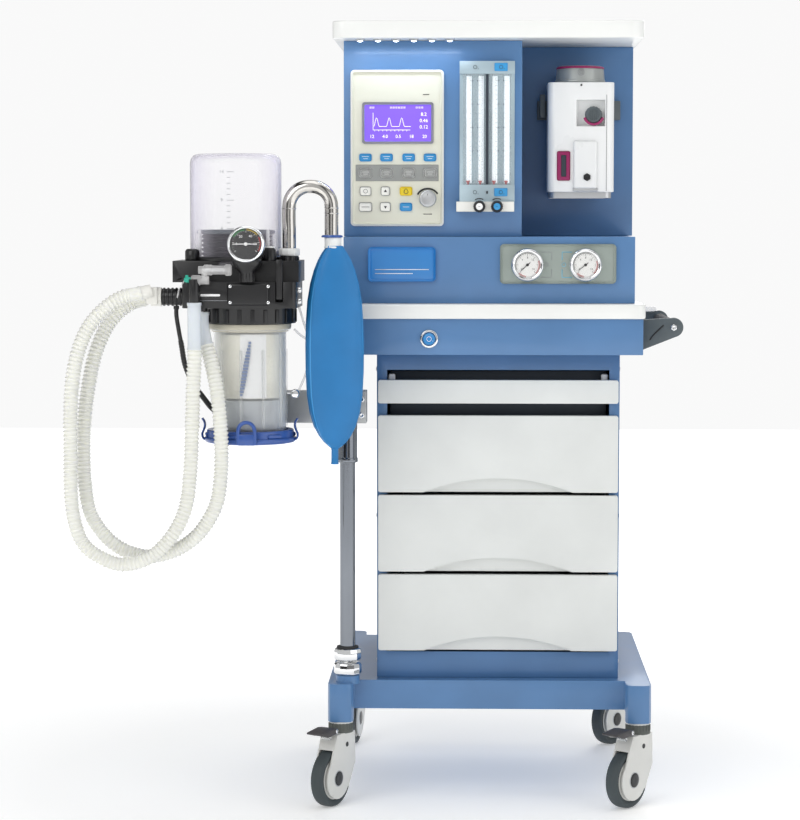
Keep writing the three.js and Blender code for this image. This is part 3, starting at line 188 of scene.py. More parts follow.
finishes = {
    "bluePaint": {"colour": (0.092, 0.215, 0.43), "rough": 0.38, "grain": 0.9, "bump": 0.05, "cloud": 0.07,
                  "coat": 0.25},
    # a darker copy of the blue paint: painted shade for the recessed cabinet shell and tower housing
    "paintedShadeBlue": {"colour": (0.075, 0.18, 0.37), "rough": 0.4, "grain": 0.9, "bump": 0.05, "cloud": 0.08,
                    "coat": 0.2},
    "whiteShell": {"colour": (0.85, 0.86, 0.84), "rough": 0.32, "grain": 1.2, "bump": 0.03, "cloud": 0.03,
                   "coat": 0.2},
    "drawerPlastic": {"colour": (0.74, 0.76, 0.745), "rough": 0.42, "grain": 0.7, "bump": 0.06,
                      "cloud": 0.04},
    "creamFilm": {"colour": (0.72, 0.72, 0.62), "rough": 0.5, "grain": 0.5, "bump": 0.05, "cloud": 0.03},
    "whiteRim": {"colour": (0.86, 0.86, 0.82), "rough": 0.4, "grain": 0.6, "bump": 0.03, "cloud": 0.02},
    "bezelGrey": {"colour": (0.3, 0.3, 0.31), "rough": 0.4, "grain": 0.5, "bump": 0.05, "cloud": 0.05},
    "bandGrey": {"colour": (0.29, 0.3, 0.29), "rough": 0.5, "grain": 0.5, "bump": 0.04, "cloud": 0.04},
    "keyBlue": {"colour": (0.035, 0.3, 0.62), "rough": 0.35, "grain": 0.4, "bump": 0.03, "cloud": 0.06,
                "coat": 0.3},
    "keyYellow": {"colour": (0.78, 0.6, 0.02), "rough": 0.35, "grain": 0.4, "bump": 0.03, "cloud": 0.05,
                  "coat": 0.3},
    "printGrey": {"colour": (0.33, 0.34, 0.36), "rough": 0.5, "grain": 0.4, "bump": 0.02, "cloud": 0.04},
    "printBlack": {"colour": (0.02, 0.02, 0.022), "rough": 0.5, "grain": 0.4, "bump": 0.02, "cloud": 0.04},
    "printWhite": {"colour": (0.9, 0.9, 0.9), "rough": 0.5, "grain": 0.4, "bump": 0.02, "cloud": 0.02},
    "nameBlue": {"colour": (0.03, 0.24, 0.62), "rough": 0.3, "grain": 0.8, "bump": 0.02, "cloud": 0.05,
                 "coat": 0.5},
    "flowGrey": {"colour": (0.38, 0.48, 0.53), "rough": 0.35, "grain": 0.5, "bump": 0.04, "cloud": 0.06,
                 "metal": 0.3},
    "gaugePlate": {"colour": (0.33, 0.38, 0.35), "rough": 0.42, "grain": 0.6, "bump": 0.05, "cloud": 0.05},
    "blackPlastic": {"colour": (0.004, 0.004, 0.005), "rough": 0.34, "grain": 0.8, "bump": 0.06,
                     "cloud": 0.2, "coat": 0.15},
    "darkMetal": {"colour": (0.09, 0.11, 0.12), "rough": 0.42, "grain": 0.8, "bump": 0.08, "cloud": 0.12},
    "blackRubber": {"colour": (0.02, 0.02, 0.021), "rough": 0.6, "grain": 0.6, "bump": 0.1, "cloud": 0.2},
    "enamel": {"colour": (0.84, 0.85, 0.85), "rough": 0.28, "grain": 1.4, "bump": 0.03, "cloud": 0.025,
               "coat": 0.4},
    "magenta": {"colour": (0.3, 0.004, 0.1), "rough": 0.35, "grain": 0.5, "bump": 0.03, "cloud": 0.06,
                "coat": 0.3},
    "silverSatin": {"colour": (0.55, 0.56, 0.57), "rough": 0.34, "grain": 0.4, "bump": 0.06, "cloud": 0.05,
                    "metal": 0.85},
    "chrome": {"colour": (0.82, 0.83, 0.84), "rough": 0.09, "grain": 3.0, "bump": 0.015, "cloud": 0.03,
               "metal": 1.0},
    "poleSteel": {"colour": (0.2, 0.215, 0.24), "rough": 0.12, "grain": 0.5, "bump": 0.03, "cloud": 0.06,
                  "metal": 1.0},
    "armMetal": {"colour": (0.46, 0.47, 0.47), "rough": 0.42, "grain": 0.8, "bump": 0.08, "cloud": 0.08,
                 "metal": 0.55},
    "lockBlue": {"colour": (0.03, 0.09, 0.34), "rough": 0.28, "grain": 0.7, "bump": 0.04, "cloud": 0.1,
                 "coat": 0.3},
    "bagRubber": {"colour": (0.01, 0.18, 0.46), "rough": 0.46, "grain": 0.5, "bump": 0.07, "cloud": 0.1},
    # a lighter copy of the bag rubber: painted highlight along the seam ridges
    "bagSeamPaintedHighlight": {"colour": (0.07, 0.36, 0.76), "rough": 0.42, "grain": 0.5, "bump": 0.06, "cloud": 0.08},
    "cuffWhite": {"colour": (0.8, 0.81, 0.8), "rough": 0.45, "grain": 0.6, "bump": 0.04, "cloud": 0.04},
    "yWhite": {"colour": (0.84, 0.83, 0.78), "rough": 0.35, "grain": 0.8, "bump": 0.03, "cloud": 0.03},
    "coverGrey": {"colour": (0.72, 0.72, 0.69), "rough": 0.28, "grain": 0.6, "bump": 0.06, "cloud": 0.06},
    "tyreGrey": {"colour": (0.055, 0.07, 0.076), "rough": 0.62, "grain": 0.5, "bump": 0.12, "cloud": 0.15},
    "pedalGrey": {"colour": (0.06, 0.055, 0.058), "rough": 0.5, "grain": 0.5, "bump": 0.1, "cloud": 0.12},
    "collarGrey": {"colour": (0.1, 0.11, 0.1), "rough": 0.5, "grain": 0.5, "bump": 0.08, "cloud": 0.1},
    "dialWhite": {"colour": (0.82, 0.82, 0.8), "rough": 0.5, "grain": 0.4, "bump": 0.02, "cloud": 0.02},
    "dialRed": {"colour": (0.5, 0.02, 0.015), "rough": 0.45, "grain": 0.4, "bump": 0.02, "cloud": 0.04},
    "dialGreen": {"colour": (0.03, 0.28, 0.08), "rough": 0.45, "grain": 0.4, "bump": 0.02, "cloud": 0.04},
    "dialYellow": {"colour": (0.7, 0.5, 0.03), "rough": 0.45, "grain": 0.4, "bump": 0.02, "cloud": 0.04},
    "floatRed": {"colour": (0.55, 0.02, 0.015), "rough": 0.3, "grain": 0.3, "bump": 0.02, "cloud": 0.05},
    "luerTeal": {"colour": (0.02, 0.42, 0.3), "rough": 0.3, "grain": 0.4, "bump": 0.02, "cloud": 0.05},
    "flushBlue": {"colour": (0.03, 0.25, 0.6), "rough": 0.25, "grain": 0.6, "bump": 0.02, "cloud": 0.06,
                  "coat": 0.5},
    "insideDark": {"colour": (0.025, 0.035, 0.05), "rough": 0.6, "grain": 1.0, "bump": 0.05, "cloud": 0.1},
    "granules": {"colour": (0.74, 0.72, 0.63), "rough": 0.7, "grain": 3.2, "bump": 0.9, "cloud": 0.22},
    "dialGrey": {"colour": (0.42, 0.44, 0.43), "rough": 0.32, "grain": 0.5, "bump": 0.06, "cloud": 0.05,
                 "metal": 0.45},
    "lineBlue": {"colour": (0.22, 0.55, 0.72), "rough": 0.5, "grain": 0.4, "bump": 0.02, "cloud": 0.04},
    "tubeSteel": {"colour": (0.62, 0.6, 0.57), "rough": 0.14, "grain": 1.5, "bump": 0.02, "cloud": 0.06,
                  "metal": 1.0},
    "beigePlastic": {"colour": (0.52, 0.49, 0.4), "rough": 0.4, "grain": 0.8, "bump": 0.05, "cloud": 0.06},
    "cupGrey": {"colour": (0.42, 0.45, 0.48), "rough": 0.3, "grain": 1.0, "bump": 0.03, "cloud": 0.12},
    "slateBlue": {"colour": (0.2, 0.25, 0.38), "rough": 0.5, "grain": 0.6, "bump": 0.06, "cloud": 0.1},
}
clears = {
    "domeClear": {"colour": (0.9, 0.86, 0.98), "rough": 0.03, "ior": 1.45, "alpha": 0.05, "edge": 0.22},
    "canisterClear": {"colour": (0.88, 0.9, 0.9), "rough": 0.08, "ior": 1.45, "alpha": 0.14, "edge": 0.3},
    "acrylicClear": {"colour": (0.86, 0.92, 0.95), "rough": 0.06, "ior": 1.45, "alpha": 0.1, "edge": 0.25},
    "gaugeGlass": {"colour": (0.97, 0.97, 0.97), "rough": 0.02, "ior": 1.3, "alpha": 0.02, "edge": 0.1},
    "sensorClear": {"colour": (0.93, 0.92, 0.92), "rough": 0.06, "ior": 1.45, "alpha": 0.3, "edge": 0.35},
}
made = {}


# grain, bump and colour from noise on the piece's own place
def finishOf(name):
    if name in made:
        return made[name]
    plan = finishes[name]
    material = bpy.data.materials.new(name)
    material.use_nodes = True
    tree = material.node_tree
    shader = tree.nodes["Principled BSDF"]
    where = tree.nodes.new("ShaderNodeTexCoord")
    cloud = tree.nodes.new("ShaderNodeTexNoise")
    cloud.inputs["Scale"].default_value = 9
    cloud.inputs["Detail"].default_value = 4
    shades = tree.nodes.new("ShaderNodeValToRGB")
    low, high = [tuple(min(1, c * k) for c in plan["colour"]) + (1,)
                 for k in (1 - plan["cloud"], 1 + plan["cloud"])]
    shades.color_ramp.elements[0].position = 0.3
    shades.color_ramp.elements[0].color = low
    shades.color_ramp.elements[1].position = 0.7
    shades.color_ramp.elements[1].color = high
    grain = tree.nodes.new("ShaderNodeTexNoise")
    grain.inputs["Scale"].default_value = 1000 / plan["grain"] / 2
    grain.inputs["Detail"].default_value = 2
    bump = tree.nodes.new("ShaderNodeBump")
    bump.inputs["Strength"].default_value = plan["bump"] * 2
    bump.inputs["Distance"].default_value = plan["grain"] * mm * 0.25
    sheen = tree.nodes.new("ShaderNodeMapRange")
    sheen.inputs["To Min"].default_value = plan["rough"] * 0.86
    sheen.inputs["To Max"].default_value = min(1, plan["rough"] * 1.18)
    links = tree.links
    for noise in (cloud, grain):
        links.new(where.outputs["Object"], noise.inputs["Vector"])
    links.new(cloud.outputs["Fac"], shades.inputs["Fac"])
    links.new(shades.outputs["Color"], shader.inputs["Base Color"])
    links.new(cloud.outputs["Fac"], sheen.inputs["Value"])
    links.new(sheen.outputs["Result"], shader.inputs["Roughness"])
    links.new(grain.outputs["Fac"], bump.inputs["Height"])
    links.new(bump.outputs["Normal"], shader.inputs["Normal"])
    shader.inputs["Metallic"].default_value = plan.get("metal", 0)
    shader.inputs["Coat Weight"].default_value = plan.get("coat", 0)
    shader.inputs["Coat Roughness"].default_value = 0.12
    made[name] = material
    return material


# clear plastic: mostly let through, with a glossy skin and a faint cloud
def clearOf(name):
    if name in made:
        return made[name]
    plan = clears[name]
    material = bpy.data.materials.new(name)
    material.use_nodes = True
    tree = material.node_tree
    shader = tree.nodes["Principled BSDF"]
    where = tree.nodes.new("ShaderNodeTexCoord")
    cloud = tree.nodes.new("ShaderNodeTexNoise")
    cloud.inputs["Scale"].default_value = 14
    haze = tree.nodes.new("ShaderNodeMapRange")
    haze.inputs["To Min"].default_value = plan["alpha"] * 0.8
    haze.inputs["To Max"].default_value = plan["alpha"] * 1.2
    edge = tree.nodes.new("ShaderNodeLayerWeight")
    edge.inputs["Blend"].default_value = plan["edge"]
    total = tree.nodes.new("ShaderNodeMath")
    total.operation = "MAXIMUM"
    links = tree.links
    links.new(where.outputs["Object"], cloud.inputs["Vector"])
    links.new(cloud.outputs["Fac"], haze.inputs["Value"])
    links.new(haze.outputs["Result"], total.inputs[0])
    links.new(edge.outputs["Facing"], total.inputs[1])
    links.new(total.outputs[0], shader.inputs["Alpha"])
    shader.inputs["Base Color"].default_value = plan["colour"] + (1,)
    shader.inputs["Roughness"].default_value = plan["rough"]
    shader.inputs["IOR"].default_value = plan["ior"]
    shader.inputs["Coat Weight"].default_value = 0.6
    shader.inputs["Coat Roughness"].default_value = 0.03
    made[name] = material
    return material


def materialOf(name):
    return clearOf(name) if name in clears else finishOf(name)


# ---- bench tools: every piece below is made with these ----

def deselectAll():
    if bpy.context.object and bpy.context.object.mode != "OBJECT":
        bpy.ops.object.mode_set(mode="OBJECT")
    bpy.ops.object.select_all(action="DESELECT")


def pickOnly(piece):
    deselectAll()
    piece.select_set(True)
    bpy.context.view_layer.objects.active = piece


# name, finish and body, with the place moved into the mesh
def settle(piece, name, finish, body, replaces=(), smooth=40):
    pickOnly(piece)
    bpy.ops.object.transform_apply(location=True, rotation=True, scale=True)
    if smooth and piece.type == "MESH":
        bpy.ops.object.shade_smooth_by_angle(angle=math.radians(smooth))
    piece.name = name
    piece.data.name = name
    if finish:
        piece.data.materials.clear()
        piece.data.materials.append(materialOf(finish))
    if body:
        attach(piece, body)
    if replaces:
        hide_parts(*replaces)
    piece.select_set(False)
    return piece


def applyModifier(piece, kind, **settings):
    pickOnly(piece)
    modifier = piece.modifiers.new(kind.title(), kind)
    for key, value in settings.items():
        setattr(modifier, key, value)
    bpy.ops.object.modifier_apply(modifier=modifier.name)


def softenEdges(piece, width, segments=2, angle=35):
    applyModifier(piece, "BEVEL", width=width * mm, segments=segments, limit_method="ANGLE",
                  angle_limit=math.radians(angle), harden_normals=False)


# a block from low and high values in mm; the edges along one axis can be rounded on their own
def blockPiece(x, y, z, corner=0, along="Y", soft=1.0, cornerSegments=6, softSegments=2):
    deselectAll()
    middle = at(sum(x) / 2, sum(y) / 2, sum(z) / 2)
    size = [(x[1] - x[0]) * mm, (y[1] - y[0]) * mm, (z[1] - z[0]) * mm]
    bpy.ops.mesh.primitive_cube_add(size=1, location=middle, scale=size)
    piece = bpy.context.object
    bpy.ops.object.transform_apply(location=True, rotation=False, scale=True)
    if corner:
        axis = "XYZ".index(along)
        bpy.ops.object.mode_set(mode="EDIT")
        bpy.ops.mesh.select_all(action="DESELECT")
        bpy.ops.object.mode_set(mode="OBJECT")
        corners = piece.data.vertices
        for edge in piece.data.edges:
            line = corners[edge.vertices[1]].co - corners[edge.vertices[0]].co
            edge.select = abs(line[axis]) > 0.9 * line.length
        bpy.ops.object.mode_set(mode="EDIT")
        bpy.ops.mesh.bevel(offset=corner * mm, segments=cornerSegments, affect="EDGES")
        bpy.ops.object.mode_set(mode="OBJECT")
    if soft:
        softenEdges(piece, soft, softSegments)
    return piece


# a turned piece: rings of (radius, height) in mm, extruded one from the next and laid along an axis
def turnedPiece(profile, place, along="Z", sides=48, soft=0):
    deselectAll()
    firstRadius, firstHeight = profile[0]
    bpy.ops.mesh.primitive_circle_add(vertices=sides, radius=max(firstRadius, 0.01) * mm, fill_type="TRIFAN",
                                      location=(0, 0, 0))
    piece = bpy.context.object
    bpy.ops.object.mode_set(mode="EDIT")
    bpy.ops.mesh.select_all(action="SELECT")
    bpy.ops.transform.translate(value=(0, 0, firstHeight * mm))
    bpy.ops.mesh.select_all(action="SELECT")
    radius, height = max(firstRadius, 0.01), firstHeight
    for nextRadius, nextHeight in profile[1:]:
        nextRadius = max(nextRadius, 0.01)
        bpy.ops.mesh.extrude_region_move(TRANSFORM_OT_translate={"value": (0, 0, (nextHeight - height) * mm)})
        grow = nextRadius / radius
        bpy.ops.transform.resize(value=(grow, grow, 1), center_override=(0, 0, nextHeight * mm))
        radius, height = nextRadius, nextHeight
    bpy.ops.mesh.select_all(action="SELECT")
    bpy.ops.mesh.remove_doubles(threshold=0.00003)
    bpy.ops.mesh.normals_make_consistent(inside=False)
    bpy.ops.object.mode_set(mode="OBJECT")
    if soft:
        softenEdges(piece, soft)
    turns = {"Z": (0, 0, 0), "-Y": (math.radians(90), 0, 0), "X": (0, math.radians(90), 0),
             "-X": (0, math.radians(-90), 0), "Y": (math.radians(-90), 0, 0), "-Z": (math.radians(180), 0, 0)}
    piece.rotation_euler = turns[along]
    piece.location = at(*place)
    pickOnly(piece)
    bpy.ops.object.transform_apply(location=True, rotation=True, scale=True)
    return piece


# a round wire or tube through points in mm, made from a curve and turned into a mesh
def wirePiece(points, radius, closed=False, sides=4, ease=6, straight=False):
    deselectAll()
    wire = bpy.data.curves.new("wire", "CURVE")
    wire.dimensions = "3D"
    wire.bevel_depth = radius * mm
    wire.bevel_resolution = sides
    wire.resolution_u = ease
    wire.use_fill_caps = not closed
    spline = wire.splines.new("POLY" if straight else "BEZIER")
    if straight:
        spline.points.add(len(points) - 1)
        for knot, point in zip(spline.points, points):
            knot.co = tuple(at(*point)) + (1,)
    else:
        spline.bezier_points.add(len(points) - 1)
        for knot, point in zip(spline.bezier_points, points):
            knot.co = at(*point)
            knot.handle_left_type = knot.handle_right_type = "AUTO"
    spline.use_cyclic_u = closed
    piece = bpy.data.objects.new("wire", wire)
    bpy.context.scene.collection.objects.link(piece)
    pickOnly(piece)
    bpy.ops.object.convert(target="MESH")
    piece = bpy.context.object
    bpy.ops.object.mode_set(mode="EDIT")
    bpy.ops.mesh.select_all(action="SELECT")
    bpy.ops.mesh.remove_doubles(threshold=0.00001)
    bpy.ops.mesh.normals_make_consistent(inside=False)
    bpy.ops.object.mode_set(mode="OBJECT")
    return piece


# a straight printed line in the front plane at depth y, from one (x, z) to another
def stroke(y, start, end, thick):
    return wirePiece([(start[0], y, start[1]), (end[0], y, end[1])], thick, straight=True)


# a printed outline in the front plane: a round or oval with so many sides
def outline(x, y, z, wide, sides, thick, high=None):
    reach = wide if high is None else high
    turns = [math.radians(360 / sides * i) for i in range(sides)]
    points = [(x + wide * math.cos(t), y, z + reach * math.sin(t)) for t in turns]
    return wirePiece(points, thick, closed=True)


def joinPieces(pieces):
    deselectAll()
    for piece in pieces:
        piece.select_set(True)
    bpy.context.view_layer.objects.active = pieces[0]
    bpy.ops.object.join()
    return bpy.context.object


# the same piece again, moved by mm, with a mesh of its own
def copyBy(piece, x=0, y=0, z=0):
    twin = piece.copy()
    twin.data = piece.data.copy()
    bpy.context.scene.collection.objects.link(twin)
    twin.data.transform(Matrix.Translation((x * mm, y * mm, z * mm)))
    return twin


def cutWith(piece, cutter):
    applyModifier(piece, "BOOLEAN", operation="DIFFERENCE", solver="EXACT", object=cutter)
    bpy.data.objects.remove(cutter, do_unlink=True)


def turnAbout(piece, place, axis, degrees):
    centre = at(*place)
    spin = Matrix.Rotation(math.radians(degrees), 4, axis)
    piece.data.transform(Matrix.Translation(centre) @ spin @ Matrix.Translation(-centre))


# blocks spaced evenly round the upright axis through (x, y)
def blocksAround(x, y, count, reach, wide, tall, start=0, **shape):
    blocks = []
    for i in range(count):
        block = blockPiece(reach, wide, tall, **shape)
        turnAbout(block, (0, 0, 0), "Z", start + i * 360 / count)
        block.data.transform(Matrix.Translation((x * mm, y * mm, 0)))
        blocks.append(block)
    return blocks


# a node's corners in drawing millimetres
def boxOf(name):
    low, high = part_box(name)
    shift = Vector((originX, originY, 0))
    return [(low - shift) / mm, (high - shift) / mm]


# a fine copy of a design solid, with merged faces and softened edges, that takes the solid's place
def refined(name, body, finish, width=1.0, segments=2, angle=35, smooth=40):
    source = nodes[name]
    piece = source.copy()
    piece.data = source.data.copy()
    bpy.context.scene.collection.objects.link(piece)
    pickOnly(piece)
    bpy.ops.object.mode_set(mode="EDIT")
    bpy.ops.mesh.select_all(action="SELECT")
    bpy.ops.mesh.remove_doubles(threshold=0.00002)
    bpy.ops.mesh.dissolve_limited(angle_limit=math.radians(1.5))
    bpy.ops.object.mode_set(mode="OBJECT")
    if width:
        softenEdges(piece, width, segments, angle)
    return settle(piece, name + "_fine", finish, body, replaces=(name,), smooth=smooth)


# ---- the breathing circuit ----

circuit = {
    "frontRoute": [
        (-589, -425, 900), (-617, -432, 894), (-642, -440, 879), (-672, -448, 847), (-692, -452, 802),
        (-702, -455, 747), (-705, -458, 637), (-701, -462, 528), (-683, -466, 479), (-650, -470, 455),
        (-620, -472, 446), (-589, -472, 450), (-562, -471, 464), (-541, -469, 485), (-523, -467, 512),
        (-510, -465, 546), (-503, -463, 604), (-500, -461, 672), (-498, -460, 738), (-495, -461, 800),
        (-495, -461, 885)],
    "rearRoute": [
        (-589, -379, 888), (-614, -388, 879), (-642, -400, 854), (-666, -408, 806), (-683, -413, 727),
        (-689, -417, 651), (-687, -421, 583), (-678, -425, 529), (-660, -427, 498), (-637, -429, 475),
        (-610, -431, 461), (-581, -433, 455), (-553, -436, 458), (-524, -439, 470), (-496, -443, 490),
        (-475, -446, 517), (-460, -449, 549), (-453, -451, 594), (-452, -452, 658), (-455, -451, 703),
        (-461, -444, 746), (-470, -434, 784), (-480, -425, 818), (-486, -420, 848), (-486, -420, 868)],
    "cableRoute": [
        (-532, -400, 878), (-532, -400, 862), (-529, -396, 838), (-525, -388, 810), (-520, -380, 776),
        (-508, -368, 745), (-492, -348, 718), (-480, -322, 698), (-471, -300, 690), (-460, -285, 688),
        (-452, -279, 688), (-443, -278, 688)],
    "hoseRadius": 13, "valleyRadius": 10.6, "pitch": 6.9, "hoseSides": 20,
    "cuffRadius": 11.4, "frontCuff": 80, "rearCuff": 58, "yCuff": 22,
    "cableThin": 3.7, "cableRadius": 5, "ribPitch": 5.2, "ribsFrom": 62,
}


# evenly spaced points on the smooth curve through a route, and its length
def smoothRoute(points, step):
    spots = [Vector(p) for p in points]
    spots = [spots[0] * 2 - spots[1]] + spots + [spots[-1] * 2 - spots[-2]]
    fine = []
    for i in range(1, len(spots) - 2):
        p0, p1, p2, p3 = spots[i - 1:i + 3]
        t1 = (p1 - p0).length ** 0.5
        t2 = t1 + (p2 - p1).length ** 0.5
        t3 = t2 + (p3 - p2).length ** 0.5
        for k in range(24):
            t = t1 + (t2 - t1) * k / 24
            a1 = p0 * (t1 - t) / t1 + p1 * t / t1
            a2 = p1 * (t2 - t) / (t2 - t1) + p2 * (t - t1) / (t2 - t1)
            a3 = p2 * (t3 - t) / (t3 - t2) + p3 * (t - t2) / (t3 - t2)
            b1 = a1 * (t2 - t) / t2 + a2 * t / t2
            b2 = a2 * (t3 - t) / (t3 - t1) + a3 * (t - t1) / (t3 - t1)
            fine.append(b1 * (t2 - t) / (t2 - t1) + b2 * (t - t1) / (t2 - t1))
    fine.append(spots[-2])
    total = sum((b - a).length for a, b in zip(fine, fine[1:]))
    count = max(2, round(total / step))
    evenly, travelled, k = [fine[0]], 0, 0
    for i in range(1, count):
        goal = total * i / count
        while travelled + (fine[k + 1] - fine[k]).length < goal:
            travelled += (fine[k + 1] - fine[k]).length
            k += 1
        evenly.append(fine[k].lerp(fine[k + 1], (goal - travelled) / (fine[k + 1] - fine[k]).length))
    evenly.append(fine[-1])
    return evenly, total


# a closed tube along a route; radiusAt gives its radius from the distance travelled and the whole length
def sweptTube(name, points, radiusAt, step, sides):
    spots, total = smoothRoute(points, step)
    corners, faces = [], []
    forward = (spots[1] - spots[0]).normalized()
    sideways = forward.cross(Vector((0, 1, 0.2))).normalized()
    for i, spot in enumerate(spots):
        ahead = (spots[min(i + 1, len(spots) - 1)] - spots[max(i - 1, 0)]).normalized()
        sideways = (sideways - ahead * sideways.dot(ahead)).normalized()
        upwards = ahead.cross(sideways)
        radius = radiusAt(total * i / (len(spots) - 1), total)
        for j in range(sides):
            turn = 2 * math.pi * j / sides
            corners.append(at(*(spot + (sideways * math.cos(turn) + upwards * math.sin(turn)) * radius)))
    for i in range(len(spots) - 1):
        for j in range(sides):
            k = (j + 1) % sides
            faces.append((i * sides + j, i * sides + k, (i + 1) * sides + k, (i + 1) * sides + j))
    faces.append(tuple(reversed(range(sides))))
    faces.append(tuple(range((len(spots) - 1) * sides, len(spots) * sides)))
    mesh = bpy.data.meshes.new(name)
    mesh.from_pydata(corners, [], faces)
    piece = bpy.data.objects.new(name, mesh)
    bpy.context.scene.collection.objects.link(piece)
    return piece, [at(*s) for s in spots], total


def makeHoses():
    c = circuit
    wave = (c["hoseRadius"] - c["valleyRadius"]) / 2
    middle = (c["hoseRadius"] + c["valleyRadius"]) / 2
    for name, route, cuff in (("hose_inspiratory", c["frontRoute"], c["frontCuff"]),
                              ("hose_expiratory", c["rearRoute"], c["rearCuff"])):
        def radiusAt(s, total, cuff=cuff):
            if s < c["yCuff"] or s > total - cuff:
                return c["cuffRadius"] + (0.9 if s < 4 or s > total - 5 or abs(s - total + cuff) < 3 else 0)
            return middle + wave * math.cos(2 * math.pi * s / c["pitch"])
        hose, path, total = sweptTube(name + "_tube", route, radiusAt, c["pitch"] / 5, c["hoseSides"])
        hose.data.materials.append(milkyPlastic("hoseMilky", (0.9, 0.9, 0.84), 0.9, 0.26))
        hose.data.materials.append(milkyPlastic("cuffMilky", (0.78, 0.83, 0.88), 0.72, 0.2))
        lastRow = len(path) - 2
        for i, face in enumerate(hose.data.polygons):
            along = min(i // c["hoseSides"], lastRow) / (lastRow + 1) * total
            face.material_index = 1 if along > total - cuff else 0
        settle(hose, name + "_tube", None, "absorber", replaces=(name,), smooth=60)
    print("hoses made")


def makeCable():
    c = circuit

    def radiusAt(s, total):
        if s < c["ribsFrom"]:
            return c["cableThin"] + (1.1 if s < 6 else 0)
        return 4.45 + 0.55 * math.cos(2 * math.pi * (s - c["ribsFrom"]) / c["ribPitch"])
    cable, path, total = sweptTube("sensor_cable_lead", c["cableRoute"], radiusAt, 1.3, 14)
    settle(cable, "sensor_cable_lead", "blackRubber", "absorber",
           replaces=("sensor_cable",),
           smooth=60)
    print("sensor cable made")


# pale plastic that light sinks into a little
def milkyPlastic(name, colour, alpha, rough):
    if name in made:
        return made[name]
    finishes[name] = {"colour": colour, "rough": rough, "grain": 1.2, "bump": 0.04, "cloud": 0.05,
                      "coat": 0.3}
    material = finishOf(name)
    shader = material.node_tree.nodes["Principled BSDF"]
    shader.inputs["Subsurface Weight"].default_value = 0.35
    shader.inputs["Subsurface Radius"].default_value = (0.006, 0.006, 0.005)
    shader.inputs["Subsurface Scale"].default_value = 1.0
    shader.inputs["Alpha"].default_value = alpha
    return material


makeHoses()
makeCable()


# ---- housings, drawers, base: fine copies of the design solids with softened edges ----

# body, finish, edge radius in mm, slot
fineCopies = {
    "base_frame": ("chassis", "bluePaint", 2.2, "blue_paint"),
    # the cabinet shell here and the tower housing below take the darker blue, painted shade of their recesses
    "cabinet_shell": ("chassis", "paintedShadeBlue", 0.8, "blue_paint"),
    "lower_housing": ("chassis", "bluePaint", 1.6, "blue_paint"),
    "gauge_housing": ("chassis", "bluePaint", 1.6, "blue_paint"),
    "tower_housing": ("chassis", "paintedShadeBlue", 1.6, "blue_paint"),
    "control_housing": ("chassis", "bluePaint", 1.6, "blue_paint"),
    "rear_cover": ("chassis", "bluePaint", 0.6, "blue_paint"),
    "worktop": ("chassis", "whiteShell", 3.0, "white_shell"),
    "top_shelf": ("chassis", "whiteShell", 4.5, "white_shell"),
    "side_handle": ("chassis", "darkMetal", 1.2, "dark_metal"),
    "control_panel": ("chassis", "whiteRim", 1.0, "panel_film"),
    "flowmeter_frame": ("chassis", "flowGrey", 0.8, "flow_frame"),
    "vaporizer_body": ("chassis", "enamel", 2.4, "vaporizer_enamel"),
    "vaporizer_mount": ("chassis", "darkMetal", 1.2, "dark_metal"),
    "tray": ("tray_body", "drawerPlastic", 1.8, "drawer_plastic"),
    "absorber_block": ("absorber", "blackPlastic", 1.6, "black_plastic"),
    "absorber_arm": ("absorber", "armMetal", 1.6, "pole_steel"),
    "bag_vent_lever": ("vent_lever", "blackPlastic", 1.0, "black_plastic"),
    "y_piece": ("absorber", "yWhite", 1.4, "y_white"),
}


def refineHousings():
    for name, (body, finish, width, slot) in fineCopies.items():
        refined(name, body, finish, width, segments=3 if width > 1.4 else 2)
    print("housings refined")


drawerLook = {"edge": 2.4}


# each drawer front keeps the arched finger cut of its design solid
def refineDrawers():
    for level in ("lower", "middle", "upper"):
        refined("drawer_" + level, "drawer_" + level + "_body", "drawerPlastic", drawerLook["edge"], 3, 32)
    print("drawers refined")


# ---- control panel ----

panelLook = {
    "face": -229.35, "left": -241, "right": -85, "low": 1015.5, "high": 1280.5,
    "bezel": (-224, -99.5, 1155.5, 1227.5), "bezelRim": 4.6,
    "keyColumns": (-218.3, -181.5, -142.8, -105.6), "keyWide": 22, "keyHigh": 13.5,
    "firstRow": 1131.6, "bandRow": 1104.8, "thirdRow": 1073, "fourthRow": 1045.5,
    "band": (-235.5, -90.5, 1090.5, 1119.2), "knobX": -109.5, "knobZ": 1060,
}


def faceBlock(x, z, front, thick, corner, soft=0.5, finish="whiteRim"):
    plate = blockPiece(x, (front - thick, front), z, corner=corner, along="Y", soft=soft)
    plate.data.materials.append(materialOf(finish))
    return plate


# numerals on a scale or readout
def numerals(text, size, x, y, z, finish, thick=0.12, turn=0):
    deselectAll()
    bpy.ops.object.text_add(location=(0, 0, 0))
    mark = bpy.context.object
    mark.data.body = text
    mark.data.size = size * mm
    mark.data.align_x = "CENTER"
    mark.data.align_y = "CENTER"
    mark.data.extrude = thick * mm
    mark.data.resolution_u = 2
    bpy.ops.object.convert(target="MESH")
    mark = bpy.context.object
    mark.rotation_euler = (math.radians(90), math.radians(turn), 0)
    mark.location = at(x, y, z)
    bpy.ops.object.transform_apply(location=True, rotation=True, scale=True)
    mark.data.materials.clear()
    mark.data.materials.append(materialOf(finish))
    return mark


# a glowing finish: the colour shines from a smooth surface with a faint cloud
def glowing(name, colour, strength, cloud=0.06):
    if name in made:
        return made[name]
    finishes[name] = {"colour": colour, "rough": 0.2, "grain": 0.4, "bump": 0.01, "cloud": cloud}
    material = finishOf(name)
    tree = material.node_tree
    shader = tree.nodes["Principled BSDF"]
    shades = [n for n in tree.nodes if n.type == "VALTORGB"][0]
    tree.links.new(shades.outputs["Color"], shader.inputs["Emission Color"])
    shader.inputs["Emission Strength"].default_value = strength
    return material


